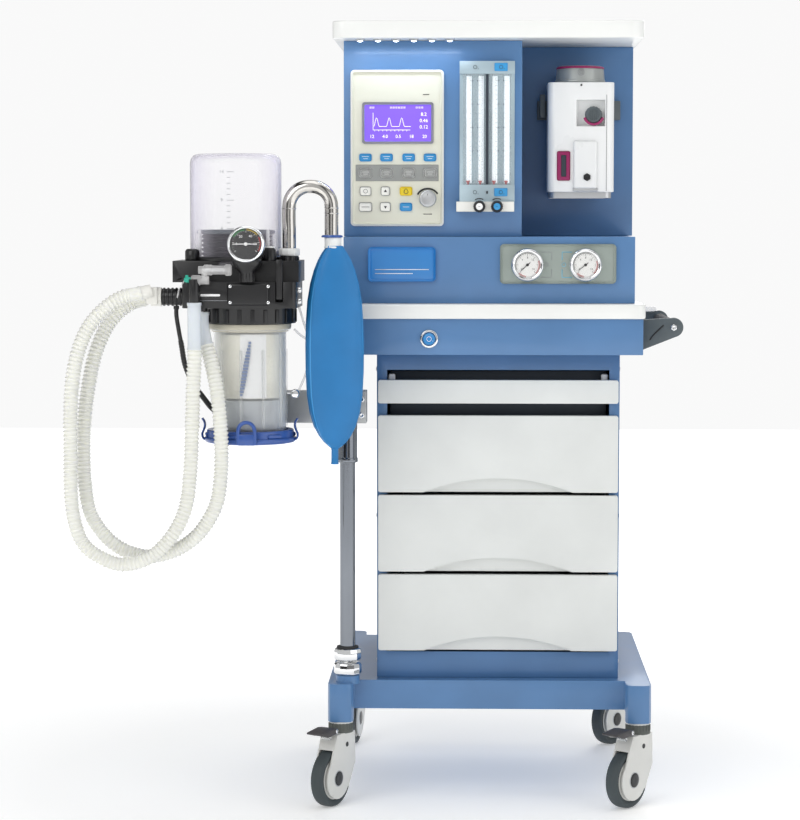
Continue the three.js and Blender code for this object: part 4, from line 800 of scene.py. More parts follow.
def makePanel():
    p = panelLook
    film = faceBlock((p["left"], p["right"]), (p["low"], p["high"]), p["face"], 0.5, 5, 0.2, "creamFilm")
    settle(film, "panel_film_sheet", None, "chassis")
    left, right, low, high = p["bezel"]
    rim = faceBlock((left, right), (low, high), p["face"] - 0.4, 0.9, 4, 0.4, "bezelGrey")
    inner = p["bezelRim"]
    settle(rim, "display_bezel", None, "chassis")
    screenFace = p["face"] - 1.35
    glowing("screenViolet", (0.165, 0.085, 0.92), 0.75)
    glowing("screenWhite", (0.8, 0.78, 0.98), 0.9)
    screen = faceBlock((left + inner, right - inner), (low + inner, high - inner), screenFace, 0.4, 1.5,
                       0.15, "screenViolet")
    settle(screen, "display_screen", None, "chassis")
    ink = screenFace - 0.5
    marks = []
    # axes of the pressure curve, its trace, and columns of figures
    marks.append(stroke(ink, (left + 19, high - 18), (left + 19, low + 24), 0.4))
    marks.append(stroke(ink, (left + 19, low + 24), (left + 84, low + 24), 0.4))
    trace = []
    for i in range(66):
        beat = (i % 22) / 22
        trace.append((left + 20 + i, ink, low + 30 + 15 * math.sin(math.pi * min(1, beat * 2.2)) ** 2))
    marks.append(wirePiece(trace, 0.4, straight=True))
    for i in range(9):
        marks.append(stroke(ink, (left + 22 + 7 * i, low + 24), (left + 22 + 7 * i, low + 21.5), 0.35))
    for row, text in enumerate(("8.2", "0.46", "0.12")):
        marks.append(numerals(text, 8.6, right - 17, ink, high - 21 - 11 * row, "screenWhite"))
    for column, text in enumerate(("12", "4.0", "0.5", "18", "20")):
        marks.append(numerals(text, 8, left + 17 + 23 * column, ink, low + 12.5, "screenWhite"))
    for x, z, wide in ((17, 9.5, 12), (62, 9.5, 34), (100, 9.5, 16)):
        marks.append(numerals("=" * int(wide / 5), 8, left + x, ink, high - z, "screenWhite"))
    readout = joinPieces(marks)
    settle(readout, "display_readout", "screenWhite", "chassis", smooth=0)
    keys = {}

    def key(x, z, finish, wide=p["keyWide"], high=p["keyHigh"]):
        halfWide, halfHigh = wide / 2, high / 2
        cap = faceBlock((x - halfWide, x + halfWide), (z - halfHigh, z + halfHigh), p["face"] - 0.3, 1.2,
                        3.6, 0.5, finish)
        keys.setdefault(finish, []).append(cap)
    for x in p["keyColumns"]:
        key(x, p["firstRow"], "keyBlue")
        key(x, p["bandRow"], "printWhite", 22.5, 16.4)
    key(p["keyColumns"][2] - 4.6, p["thirdRow"], "keyYellow", 22, 15.5)
    key(p["keyColumns"][2] - 4.6, p["fourthRow"], "keyBlue", 21.5, 14.5)
    for x, wide in ((p["keyColumns"][0], 20), (p["keyColumns"][1] - 2, 16)):
        key(x, p["thirdRow"], "printGrey", wide, 16)
        key(x, p["fourthRow"], "printGrey", wide + 3, 16)
    for finish, caps in keys.items():
        settle(joinPieces(caps), "keys_" + finish, None, "chassis")
    left, right, low, high = p["band"]
    band = faceBlock((left, right), (low, high), p["face"] - 0.3, 0.5, 1, 0.2, "bandGrey")
    settle(band, "key_band", None, "chassis")
    # inner faces of the outlined keys, with a small printed mark on each key
    inners = [faceBlock((x - 9.9, x + 9.9), (p["bandRow"] - 6.9, p["bandRow"] + 6.9), p["face"] - 0.9, 0.8,
                        3, 0.3, "bandGrey")
              for x in p["keyColumns"]]
    settle(joinPieces(inners), "band_key_faces", None, "chassis")
    whites = []
    for x, wide in ((p["keyColumns"][0], 20), (p["keyColumns"][1] - 2, 16)):
        for row, extra in ((p["thirdRow"], 0), (p["fourthRow"], 3)):
            half = (wide + extra) / 2 - 0.9
            whites.append(faceBlock((x - half, x + half), (row - 7.1, row + 7.1), p["face"] - 0.9, 0.8, 3,
                                    0.3, "whiteRim"))
    settle(joinPieces(whites), "white_key_faces", None, "chassis")
    legends = []
    for x in p["keyColumns"]:
        for row, z in enumerate((p["firstRow"], p["bandRow"])):
            ink = p["face"] - (1.7 if row == 0 else 1.9)
            legends.append(stroke(ink, (x - 6, z + 1.6), (x + 6, z + 1.6), 0.45))
            legends.append(stroke(ink, (x - 4, z - 2), (x + 4, z - 2), 0.4))
    legends.append(wirePiece([(p["keyColumns"][2] - 10, p["face"] - 1.7, p["fourthRow"]),
                              (p["keyColumns"][2] + 1, p["face"] - 1.7, p["fourthRow"])], 0.5, straight=True))
    settle(joinPieces(legends), "key_legends_white", "printWhite", "chassis", smooth=0)
    dark = []
    ink = p["face"] - 1.9
    for z, up in ((p["thirdRow"], 1), (p["fourthRow"], -1)):
        x = p["keyColumns"][1] - 2
        arrow = turnedPiece([(0, -0.15), (3.1, -0.15), (3.1, 0.15), (0, 0.15)], (x, ink, z), "-Y", sides=3)
        turnAbout(arrow, (x, ink, z), "Y", 0 if up > 0 else 180)
        dark.append(arrow)
    x = p["keyColumns"][0]
    dark.append(outline(x, ink, p["thirdRow"], 3.4, 6, 0.3))
    dark.append(stroke(ink, (x - 7, p["fourthRow"]), (x + 7, p["fourthRow"]), 0.4))
    bell = p["keyColumns"][2] - 4.6
    dark.append(wirePiece([(bell - 3, p["face"] - 1.7, p["thirdRow"] - 3),
                           (bell - 2.3, p["face"] - 1.7, p["thirdRow"] + 2),
                           (bell, p["face"] - 1.7, p["thirdRow"] + 4),
                           (bell + 2.3, p["face"] - 1.7, p["thirdRow"] + 2),
                           (bell + 3, p["face"] - 1.7, p["thirdRow"] - 3)], 0.5, closed=True))
    # the arc above the rotary knob, thicker at its middle, and two small pilot marks
    arc = [(p["knobX"] + 19.5 * math.cos(math.radians(a)), p["face"] - 0.6,
            p["knobZ"] + 17.5 * math.sin(math.radians(a)))
           for a in range(28, 157, 8)]
    dark.append(wirePiece(arc, 1.5))
    dark.append(stroke(p["face"] - 0.6, (-118, 1241), (-107, 1241), 0.7))
    dark.append(stroke(p["face"] - 0.6, (-117, 1033), (-102, 1033), 0.7))
    settle(joinPieces(dark), "key_legends_dark", "printBlack", "chassis", smooth=0)
    print("control panel made")


# ---- knobs: turned, with grip ribs set round the rim ----

knobLooks = {
    "encoder": {"node": "encoder_knob", "body": "encoder", "slot": "knob_silver", "finish": "silverSatin",
                "flutes": 0},
    "flowLeft": {"node": "flow_knob_left", "body": "flow_valve_left", "slot": "black_plastic",
                 "finish": "blackPlastic",
                 "disc": "printWhite", "flutes": 18},
    "flowRight": {"node": "flow_knob_right", "body": "flow_valve_right", "slot": "black_plastic",
                  "finish": "blackPlastic", "disc": "keyBlue", "flutes": 18},
    "filler": {"node": "filler_cap", "body": "filler", "slot": "dark_metal", "finish": "darkMetal",
               "flutes": 16},
}


def makeKnobs():
    for look in knobLooks.values():
        low, high = boxOf(look["node"])
        x, z = (low.x + high.x) / 2, (low.z + high.z) / 2
        radius = (high.x - low.x) / 2
        depth = high.y - low.y
        profile = [(3.6, 0), (radius, 0), (radius, depth * 0.3), (radius - 0.5, depth * 0.8),
                   (radius - 1.6, depth - 0.6),
                   (radius - 2.6, depth), (radius * 0.62, depth), (radius * 0.6,
                                                                   depth - 0.7), (0, depth - 0.7)]
        knob = turnedPiece(profile, (x, high.y, z), "-Y", sides=64, soft=0.25)
        if look["flutes"]:
            rims = []
            for i in range(look["flutes"]):
                turn = 2 * math.pi * i / look["flutes"]
                rib = blockPiece((radius - 1.1, radius - 0.05), (low.y + 2.5, high.y - 1), (-0.8, 0.8),
                                 soft=0.3)
                turnAbout(rib, (0, 0, 0), "Y", math.degrees(turn))
                rib.data.transform(Matrix.Translation((x * mm, 0, z * mm)))
                rims.append(rib)
            knob = joinPieces([knob] + rims)
        settle(knob, look["node"] + "_turned", look["finish"], look["body"], (look["node"],))
        if "disc" in look:
            disc = turnedPiece([(0, 0), (radius * 0.58, 0), (radius * 0.56, 0.9), (0, 0.9)],
                               (x, low.y + 0.9, z), "-Y", 40, 0.2)
            settle(disc, look["node"] + "_disc", look["disc"], look["body"])
            mark = stroke(low.y - 0.1, (x - 1.8, z), (x + 1.8, z), 0.25)
            settle(mark, look["node"] + "_mark", "printBlack", look["body"], smooth=0)
        else:
            pointer = stroke(low.y + 0.1, (x, z + radius * 0.35), (x, z + radius * 0.55), 0.4)
            settle(pointer, look["node"] + "_mark", "printBlack", look["body"], smooth=0)
    print("knobs made")


refineHousings()
refineDrawers()
makePanel()
makeKnobs()


# ---- gauges, nameplate, flush button and shelf lights ----

frontLook = {
    "gaugeFace": -250.3, "plate": (17, 219, 912, 981), "name": (-213, -95, 915.5, 976),
    "panelLights": 6, "lightsFrom": -226, "lightPitch": 31, "lightY": -262, "shelfUnder": 1334.8,
    "glowPower": 0.1,
}


# a dial face: white disc, scale ticks, coloured arc and a pointer, facing the front
def dialFace(name, x, y, z, radius, body, startAngle, endAngle, needle, finish="dialWhite",
             ink="printBlack", arcs=(), numbers=()):
    disc = turnedPiece([(0, 0), (radius, 0), (radius, 0.8), (0, 0.8)], (x, y, z), "-Y", 48)
    settle(disc, name + "_disc", finish, body)
    front = y - 0.95
    marks = []
    count = 25
    for i in range(count):
        a = math.radians(startAngle + (endAngle - startAngle) * i / (count - 1))
        inner = radius * (0.76 if i % 4 == 0 else 0.82)
        marks.append(wirePiece([(x + inner * math.cos(a), front, z + inner * math.sin(a)),
                                (x + radius * 0.9 * math.cos(a), front, z + radius * 0.9 * math.sin(a))],
                               0.32 if i % 4 == 0 else 0.18, straight=True))
    for text, angle in numbers:
        a = math.radians(angle)
        marks.append(numerals(text, radius * 0.24, x + radius * 0.6 * math.cos(a), front,
                              z + radius * 0.6 * math.sin(a), ink))
    settle(joinPieces(marks), name + "_scale", ink, body, smooth=0)
    for finishName, fromAngle, toAngle, reach, thick in arcs:
        steps = max(3, int(abs(toAngle - fromAngle) / 12))
        points = []
        for i in range(steps + 1):
            a = math.radians(fromAngle + (toAngle - fromAngle) * i / steps)
            points.append((x + radius * reach * math.cos(a), front + 0.1, z + radius * reach * math.sin(a)))
        settle(wirePiece(points, thick), name + "_arc_" + finishName, finishName, body, smooth=0)
    a = math.radians(needle)
    tip = (x + radius * 0.74 * math.cos(a), front - 1.1, z + radius * 0.74 * math.sin(a))
    tail = (x - radius * 0.3 * math.cos(a), front - 1.1, z - radius * 0.3 * math.sin(a))
    hub = turnedPiece([(0, 0), (radius * 0.13, 0), (radius * 0.11, 1.8), (0, 2)], (x, y, z), "-Y", 24)
    hand = joinPieces([wirePiece([tail, tip], radius * 0.026, straight=True), hub])
    settle(hand, name + "_pointer", ink, body, smooth=30)


def makeSupplyGauges():
    f = frontLook
    left, right, low, high = f["plate"]
    plate = faceBlock((left, right), (low, high), f["gaugeFace"] + 0.2, 1.6, 7, 0.5, "gaugePlate")
    settle(plate, "gauge_plate", None, "chassis")
    for side, needle in (("left", 222), ("right", 218)):
        name = "supply_gauge_" + side
        lowest, highest = boxOf(name)
        x, z = (lowest.x + highest.x) / 2, (lowest.z + highest.z) / 2
        radius = (highest.x - lowest.x) / 2
        depth = highest.y - lowest.y
        case = turnedPiece([(0, 1.6), (radius, 1.6), (radius, depth - 5), (radius - 1.2, depth - 1.6),
                            (radius - 3.4, depth),
                            (radius - 6, depth - 1), (radius - 7.6, depth - 5), (0, depth - 5)],
                           (x, highest.y, z), "-Y", 72, 0.35)
        settle(case, name + "_case", "chrome", "chassis", (name,))
        dialFace(name, x, lowest.y + 5.0, z, radius - 7.8, "chassis", 225, -45, needle,
                 arcs=(("dialRed", 225, 262, 0.96, 0.5), ("printBlack", 205, 60, 0.96, 0.35),
                       ("dialRed", 20, -45, 0.96, 0.5)),
                 numbers=(("0", 215), ("4", 135), ("8", 90), ("12", 45), ("16", -35)))
        glass = turnedPiece([(0, 0), (radius - 7.4, 0), (radius - 8.5, 0.9), (0, 1.3)],
                            (x, lowest.y + 2.6, z), "-Y", 48)
        settle(glass, name + "_glass", "gaugeGlass", "chassis")
    # brackets of printed line between the gauges and their labels
    ink = f["gaugeFace"] - 1.6
    dark = [wirePiece([(88, ink, z), (107, ink, z), (107, ink, 945 + side * 8)], 0.5, straight=True)
            for z, side in ((967, 1), (923, -1))]
    dark.append(outline(98, ink, 945, 3, 6, 0.4, high=3.4))
    settle(joinPieces(dark), "gauge_lines_dark", "printGrey", "chassis", smooth=0)
    light = [wirePiece([(142, ink, z), (125, ink, z), (125, ink, 945 + side * 8)], 0.8, straight=True)
             for z, side in ((967, 1), (923, -1))]
    light.append(outline(128, ink, 945, 3.4, 6, 0.45))
    settle(joinPieces(light), "gauge_lines_light", "lineBlue", "chassis", smooth=0)
    print("supply gauges made")


def makeFlushAndName():
    f = frontLook
    left, right, low, high = f["name"]
    plate = faceBlock((left, right), (low, high), f["gaugeFace"] + 0.2, 1.8, 7, 0.6, "nameBlue")
    settle(plate, "nameplate", None, "chassis")
    lines = [stroke(f["gaugeFace"] - 1.75, (left + 12, z), (right - reach, z), 0.7)
             for z, reach in ((low + 21, 12), (low + 14, 40))]
    settle(joinPieces(lines), "nameplate_lines", "printWhite", "chassis", smooth=0)
    lowest, highest = boxOf("oxygen_flush_button")
    x, z = (lowest.x + highest.x) / 2, (lowest.z + highest.z) / 2
    radius = (highest.x - lowest.x) / 2
    button = turnedPiece([(0, 0), (radius, 0), (radius, highest.y - lowest.y - 1.2),
                          (radius - 1, highest.y - lowest.y - 0.2),
                          (radius - 3, highest.y - lowest.y - 0.5), (0, highest.y - lowest.y - 1.2)],
                         (x, highest.y, z), "-Y", 48, 0.2)
    settle(button, "flush_button_cap", "flushBlue", "flush", ("oxygen_flush_button",))
    ink = lowest.y - 0.15
    mark = joinPieces([outline(x, ink + 0.6, z, 4, 8, 0.4),
                       stroke(ink + 0.6, (x + 6, z - 3.4), (x + 7.2, z - 3.4), 0.4)])
    settle(mark, "flush_button_mark", "printWhite", "flush", smooth=0)
    front = -282
    ring = turnedPiece([(radius + 0.9, -0.3), (15.9, -0.3), (15.9, 4.5), (14.6, 5.8), (12.4, 6.1),
                        (radius + 0.9, 5.2),
                        (radius + 0.9, -0.3)], (x, front - 0.2, z), "-Y", 56, 0.3)
    settle(ring, "flush_collar_ring", "chrome", "chassis")
    print("nameplate and flush button made")


# a row of small lamps under the top shelf that washes the panel below
def makeShelfLights():
    f = frontLook
    glowing("lampWhite", (0.82, 0.9, 1.0), 9.0, 0.02)
    holders, lenses = [], []
    for i in range(f["panelLights"]):
        x = f["lightsFrom"] + f["lightPitch"] * i
        z = f["shelfUnder"]
        holders.append(turnedPiece([(0, 0), (8, 0), (8, 2), (6.6, 3.4), (5.2, 3.4), (5.2, 2.2), (0, 2.2)],
                                   (x, f["lightY"], z - 0.1), "-Z", 32))
        lenses.append(turnedPiece([(0, 0), (5, 0), (4, 1.6), (2, 2.4), (0, 2.6)], (x, f["lightY"], z - 2.2),
                                  "-Z", 24))
    settle(joinPieces(holders), "shelf_lamp_holders", "silverSatin", "chassis")
    settle(joinPieces(lenses), "shelf_lamp_lenses", "lampWhite", "chassis")
    middleX = f["lightsFrom"] + f["lightPitch"] * (f["panelLights"] - 1) / 2
    bpy.ops.object.light_add(type="AREA", location=at(middleX, f["lightY"] - 4, f["shelfUnder"] - 8))
    glow = bpy.context.object
    glow.name = "shelfGlow"
    glow.data.shape = "RECTANGLE"
    glow.data.size, glow.data.size_y = 0.2, 0.01
    glow.data.energy = f["glowPower"]
    glow.data.color = (0.75, 0.86, 1.0)
    print("shelf lamps made")


# ---- flowmeter ----

flowLook = {
    "centreX": -6, "front": -245.3, "low": 1084, "high": 1276, "tubeXs": (-37.5, -16.5, 7.5, 28.5),
    "strip": 9, "ticks": 21,
}


def makeFlowmeter():
    f = flowLook
    for side in ("left", "right"):
        refined("flow_tubes_" + side, "chassis", "acrylicClear", 0.7)
    for i in range(4):
        low, high = boxOf(f"float_{i + 1}")
        x, y = (low.x + high.x) / 2, (low.y + high.y) / 2
        tall = high.z - low.z
        bob = turnedPiece([(0, 0), (1.2, 0), (2.4, tall * 0.5), (3.1, tall * 0.72), (3.1, tall), (0, tall)],
                          (x, y, low.z), "Z", 24, 0.15)
        settle(bob, f"float_{i + 1}_bob", "floatRed", f"float_body_{i + 1}", (f"float_{i + 1}",))
    strips, ticks = [], []
    for i, x in enumerate(f["tubeXs"]):
        # a white scale strip stands behind each bore, and its ticks are printed on the block's front
        shift = 5.6 if i % 2 == 0 else -5.6
        wide = f["strip"] / 2
        strips.append(blockPiece((x - wide, x + wide), (-229.4, -228.9), (f["low"] + 3, f["high"] - 3),
                                 soft=0.1))
        for k in range(f["ticks"]):
            z = f["low"] + 18 + k * (f["high"] - f["low"] - 30) / (f["ticks"] - 1)
            reach = 3.4 if k % 5 == 0 else 2
            start = x + (1.5 if shift > 0 else -1.5)
            ticks.append(wirePiece([(start, -244.9, z), (start + math.copysign(reach, shift), -244.9, z)],
                                   0.22, straight=True))
            if k % 5 == 0 and k:
                ticks.append(numerals(str(k // 5 * 2), 4.2, x + shift * 1.15, -244.9, z, "printBlack", 0.05))
    # the scale strips glow a little: painted light that keeps them white in the shade behind the block
    glowing("scalePaintedGlow", (0.85, 0.9, 0.93), 0.5, 0.02)
    settle(joinPieces(strips), "flow_scale_strips", "scalePaintedGlow", "chassis")
    settle(joinPieces(ticks), "flow_scale_ticks", "printBlack", "chassis", smooth=0)
    divider = blockPiece((f["centreX"] - 2.2, f["centreX"] + 2.2), (-243, -228),
                         (f["low"] + 1, f["high"] - 1), soft=0.4)
    settle(divider, "flow_divider", "insideDark", "chassis")
    labels = [faceBlock((6.5, 29.5), (z - 7, z + 7), f["front"] - 0.05, 0.5, 1.2, 0.15, "keyBlue")
              for z in (1287.5, 1071)]
    settle(joinPieces(labels), "flow_labels", None, "chassis")
    marks = []
    for z in (1287.5, 1071):
        for x in (18, -27):
            marks.append(outline(x, f["front"] - 0.65, z, 3, 6, 0.35))
            marks.append(stroke(f["front"] - 0.65, (x + 4.5, z - 3), (x + 6.5, z - 3), 0.3))
    marks.append(stroke(f["front"] - 0.65, (-7.5, 1071), (-4.5, 1071), 2.4))
    for x in (-19, 11.6):
        marks.append(wirePiece([(x + 14 * math.cos(math.radians(a)), f["front"] - 0.4,
                                 1046 + 14 * math.sin(math.radians(a)))
                                for a in range(62, 130, 9)], 0.8))
    settle(joinPieces(marks), "flow_marks", "printBlack", "chassis", smooth=0)
    cover = faceBlock((-59.2, 41.2), (1037.4, 1054.6), -250.4, 1.2, 1.6, 0.5, "whiteRim")
    for x in (-19.3, 11.3):
        hole = turnedPiece([(0, 0), (5, 0), (5, 6), (0, 6)], (x, -248, 1046), "-Y", 24)
        cutWith(cover, hole)
    settle(cover, "valve_bar_cover", None, "chassis")
    print("flowmeter made")


# ---- vaporizer ----

vaporizerLook = {
    "centreX": 160, "centreY": -119, "front": -175, "low": 1072, "high": 1265, "dialRadius": 45,
    "window": (117.5, 141, 1092, 1144), "channel": (146.5, 188, 1078, 1162),
}


def makeVaporizer():
    v = vaporizerLook
    low, high = boxOf("vaporizer_dial")
    r = v["dialRadius"]
    tall = high.z - low.z
    dial = turnedPiece([(13, 0), (r - 1, 0), (r, 1.5), (r - 0.3, 5), (r - 1.4, 6), (r - 3, tall - 5.2),
                        (r - 4.4, tall - 5),
                        (r - 4.8, tall - 1), (r - 7, tall), (0, tall)], (v["centreX"], v["centreY"],
                                                                         low.z), "Z", 96, 0.35)
    settle(dial, "concentration_dial", "dialGrey", "dial", ("vaporizer_dial",))
    ring = turnedPiece([(r - 8, -1.2), (r - 2.4, -1.2), (r - 2.2, 0.6), (r - 4, 2.6), (r - 7, 3.3),
                        (r - 12, 3.3), (r - 12, 1.9),
                        (r - 8, 1.9), (r - 8, -1.2)], (v["centreX"], v["centreY"],
                                                       low.z + tall - 3.5), "Z", 96, 0.2)
    settle(ring, "dial_top_ring", "magenta", "dial")
    teeth = blocksAround(v["centreX"], v["centreY"], 44, (r - 1.9, r - 0.6), (-0.7, 0.7),
                         (low.z + 1.6, low.z + 4.6), soft=0.25)
    settle(joinPieces(teeth), "dial_grip_ribs", "dialGrey", "dial")
    # scale marks round the dial's rim, an index ring and a dot at the front
    marks = []
    for i in range(27):
        a = math.radians(-90 + 12 * i)
        ends = [(v["centreX"] + reach * math.cos(a), v["centreY"] + reach * math.sin(a), low.z + rise)
                for reach, rise in ((r - 1.9, 8), (r - 1.9 - 0.5, 12))]
        marks.append(wirePiece(ends, 0.35, straight=True))
    settle(joinPieces(marks), "dial_scale", "printGrey", "dial", smooth=0)
    front = v["centreY"] - r + 1.2
    marks = [outline(v["centreX"], front + 0.3, low.z + 18, 5.6, 12, 0.55),
             outline(v["centreX"], front + 0.3, low.z + 18, 2.2, 8, 0.5, high=3.2)]
    settle(joinPieces(marks), "dial_index", "printGrey", "dial", smooth=0)
    pip = turnedPiece([(0, 0), (2, 0), (1.6, 0.8), (0, 1)], (v["centreX"], v["front"] + 0.2, v["high"] - 5),
                      "-Y", 20)
    settle(pip, "body_index_dot", "printBlack", "chassis")
    left, right, bottom, top = v["window"]
    surround = faceBlock((left, right), (bottom, top), v["front"] + 0.3, 1.9, 3, 0.6, "magenta")
    settle(surround, "level_window_frame", None, "chassis")
    glass = faceBlock((left + 7.5, right - 7), (bottom + 7, top - 7), v["front"] - 1.4, 0.7, 1.2, 0.2,
                      "insideDark")
    settle(glass, "level_window_glass", None, "chassis")
    left, right, bottom, top = v["channel"]
    ridge = blockPiece((left, right), (v["front"] - 6.5, v["front"] + 1), (bottom, top), corner=4,
                       along="Y", soft=2.2, softSegments=4)
    settle(ridge, "filler_channel", "enamel", "chassis")
    lip = blockPiece((left - 1, right + 2), (v["front"] - 4, v["front"] + 1), (bottom - 4.6, bottom + 2),
                     corner=1.5, along="X", soft=1.2)
    settle(lip, "filler_channel_lip", "silverSatin", "chassis")
    plug = turnedPiece([(0, 0), (7, 0), (7, 2.4), (5.4, 3.4), (3, 3.4), (2.8, 2.6), (0, 2.6)],
                       (v["centreX"] + 10.5, v["front"] - 6.3, 1098), "-Y", 6, 0.3)
    settle(plug, "drain_plug", "blackPlastic", "chassis")
    arc = [(182 + 17 * math.cos(math.radians(a)), v["front"] - 1.2, 1208 + 17 * math.sin(math.radians(a)))
           for a in range(198, 343, 12)]
    settle(wirePiece(arc, 2.3), "filler_arc", "magenta", "chassis")
    low, high = boxOf("filler_cap")
    x, z = (low.x + high.x) / 2, (low.z + high.z) / 2
    ribs = [stroke(low.y - 0.25, (x + dx, z - h), (x + dx, z + h), 0.7)
            for dx, h in ((-8, 7), (-4, 10), (0, 11), (4, 10), (8, 7))]
    settle(joinPieces(ribs), "filler_cap_ribs", "darkMetal", "filler")
    seam = blockPiece((204.2, 205.4), (v["front"] - 0.3, v["front"] + 30), (v["low"] + 2, v["high"] - 22),
                      soft=0.2)
    settle(seam, "side_seam", "bezelGrey", "chassis")
    base = blockPiece((105, 214), (v["front"] + 6, -68), (v["low"] - 2.5, v["low"] + 1), corner=12,
                      along="Z", soft=0.8)
    settle(base, "body_foot", "silverSatin", "chassis")
    print("vaporizer made")


makeSupplyGauges()
makeFlushAndName()
makeShelfLights()
makeFlowmeter()
makeVaporizer()


# ---- absorber: dome, bellows, canister and its lock ring ----

absorberLook = {
    "domeX": -435.2, "domeY": -345, "domeRadius": 78, "domeWall": 2.6, "domeLow": 946.4, "domeTop": 1135.2,
    "bellowsRadius": 62, "folds": 6, "x": -410.5, "y": -362, "canisterRadius": 62, "canisterLow": 661,
    "canisterTop": 847.3, "ringRadius": 78.5, "fillLow": 721,
}


def makeDome():
    a = absorberLook
    r, low, top, wall = a["domeRadius"], a["domeLow"], a["domeTop"], a["domeWall"]
    profile = [(r, low), (r, top - 17), (r - 1.4, top - 9), (r - 5.5, top - 3), (r - 12, top - 0.4),
               (r - 24, top), (0, top),
               (0, top - wall), (r - 24, top - wall), (r - 13, top - wall - 0.6), (r - 7.4, top - wall - 3),
               (r - wall - 1.2, top - 11), (r - wall, top - 18), (r - wall, low), (r, low)]
    profile = [(rr, z - low) for rr, z in profile]
    dome = turnedPiece(profile, (a["domeX"], a["domeY"], low), "Z", 96)
    settle(dome, "bellows_dome_shell", "domeClear", "absorber", ("bellows_dome",), smooth=50)
    # graduations moulded on the dome's front
    marks = []
    for i in range(11):
        z = low + 62 + i * 9.5
        reach = 9 if i % 5 == 0 else 5
        for step in range(reach - 1):
            a0, a1 = [math.radians(-96 + 1.1 * (step + k)) for k in (0, 1)]
            marks.append(wirePiece([(a["domeX"] + (r + 0.1) * math.cos(t),
                                     a["domeY"] + (r + 0.1) * math.sin(t), z)
                                    for t in (a0, a1)], 0.4, straight=True))
        if i % 5 == 0:
            marks.append(numerals(str(4 + i), 8, a["domeX"] - 17, a["domeY"] - r * 0.985, z, "printGrey",
                                  0.1))
    settle(joinPieces(marks), "dome_graduations", "printGrey", "absorber", smooth=0)
    # four guide columns and a top disc stand round the bellows
    r2 = a["bellowsRadius"] + 8.5
    posts = []
    for turn in (35, 145, 215, 325):
        t = math.radians(turn)
        posts.append(turnedPiece([(0, 0), (3, 0), (3, 50), (2.2, 52), (0, 52.6)],
                                 (a["domeX"] + r2 * math.cos(t), a["domeY"] + r2 * math.sin(t),
                                  954.2), "Z", 20, 0.2))
    settle(joinPieces(posts), "bellows_guides", "cuffWhite", "absorber")
    ring = turnedPiece([(r + 0.5, 0), (r + 4.5, 0), (r + 4.5, 4), (r + 3, 6), (r + 0.5, 6), (r + 0.5, 0)],
                       (a["domeX"], a["domeY"], 954.1), "Z", 80, 0.4)
    settle(ring, "dome_seat_ring", "blackPlastic", "absorber")
    print("dome made")


# the folded bellows, and its top plate on a body of its own
def makeBellows():
    a = absorberLook
    low, high = boxOf("bellows")
    tall = high.z - low.z
    r = a["bellowsRadius"]
    profile = [(8, 0), (r - 6, 0)]
    pitch = tall / a["folds"]
    for i in range(a["folds"]):
        z = i * pitch
        profile += [(r - 6.5, z + pitch * 0.12), (r - 1, z + pitch * 0.36), (r, z + pitch * 0.5),
                    (r - 1, z + pitch * 0.64),
                    (r - 6.5, z + pitch * 0.88)]
    profile += [(r - 6, tall), (8, tall), (8, 0)]
    bellows = turnedPiece(profile, (a["domeX"], a["domeY"], low.z), "Z", 80)
    settle(bellows, "bellows_folds", "blackRubber", None, ("bellows",), smooth=30)
    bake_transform(bellows)
    low, high = boxOf("bellows_plate")
    plate = turnedPiece([(0, 0), (64, 0), (66.8, 1.2), (66.8, 5), (65, 7.2), (52, 7.8), (50, 6.4),
                         (14, 6.4), (12, 7.8), (0, 7.8)],
                        (a["domeX"], a["domeY"], low.z), "Z", 80, 0.25)
    settle(plate, "bellows_top_plate", "darkMetal", "bellows_top", ("bellows_plate",))
    print("bellows made")


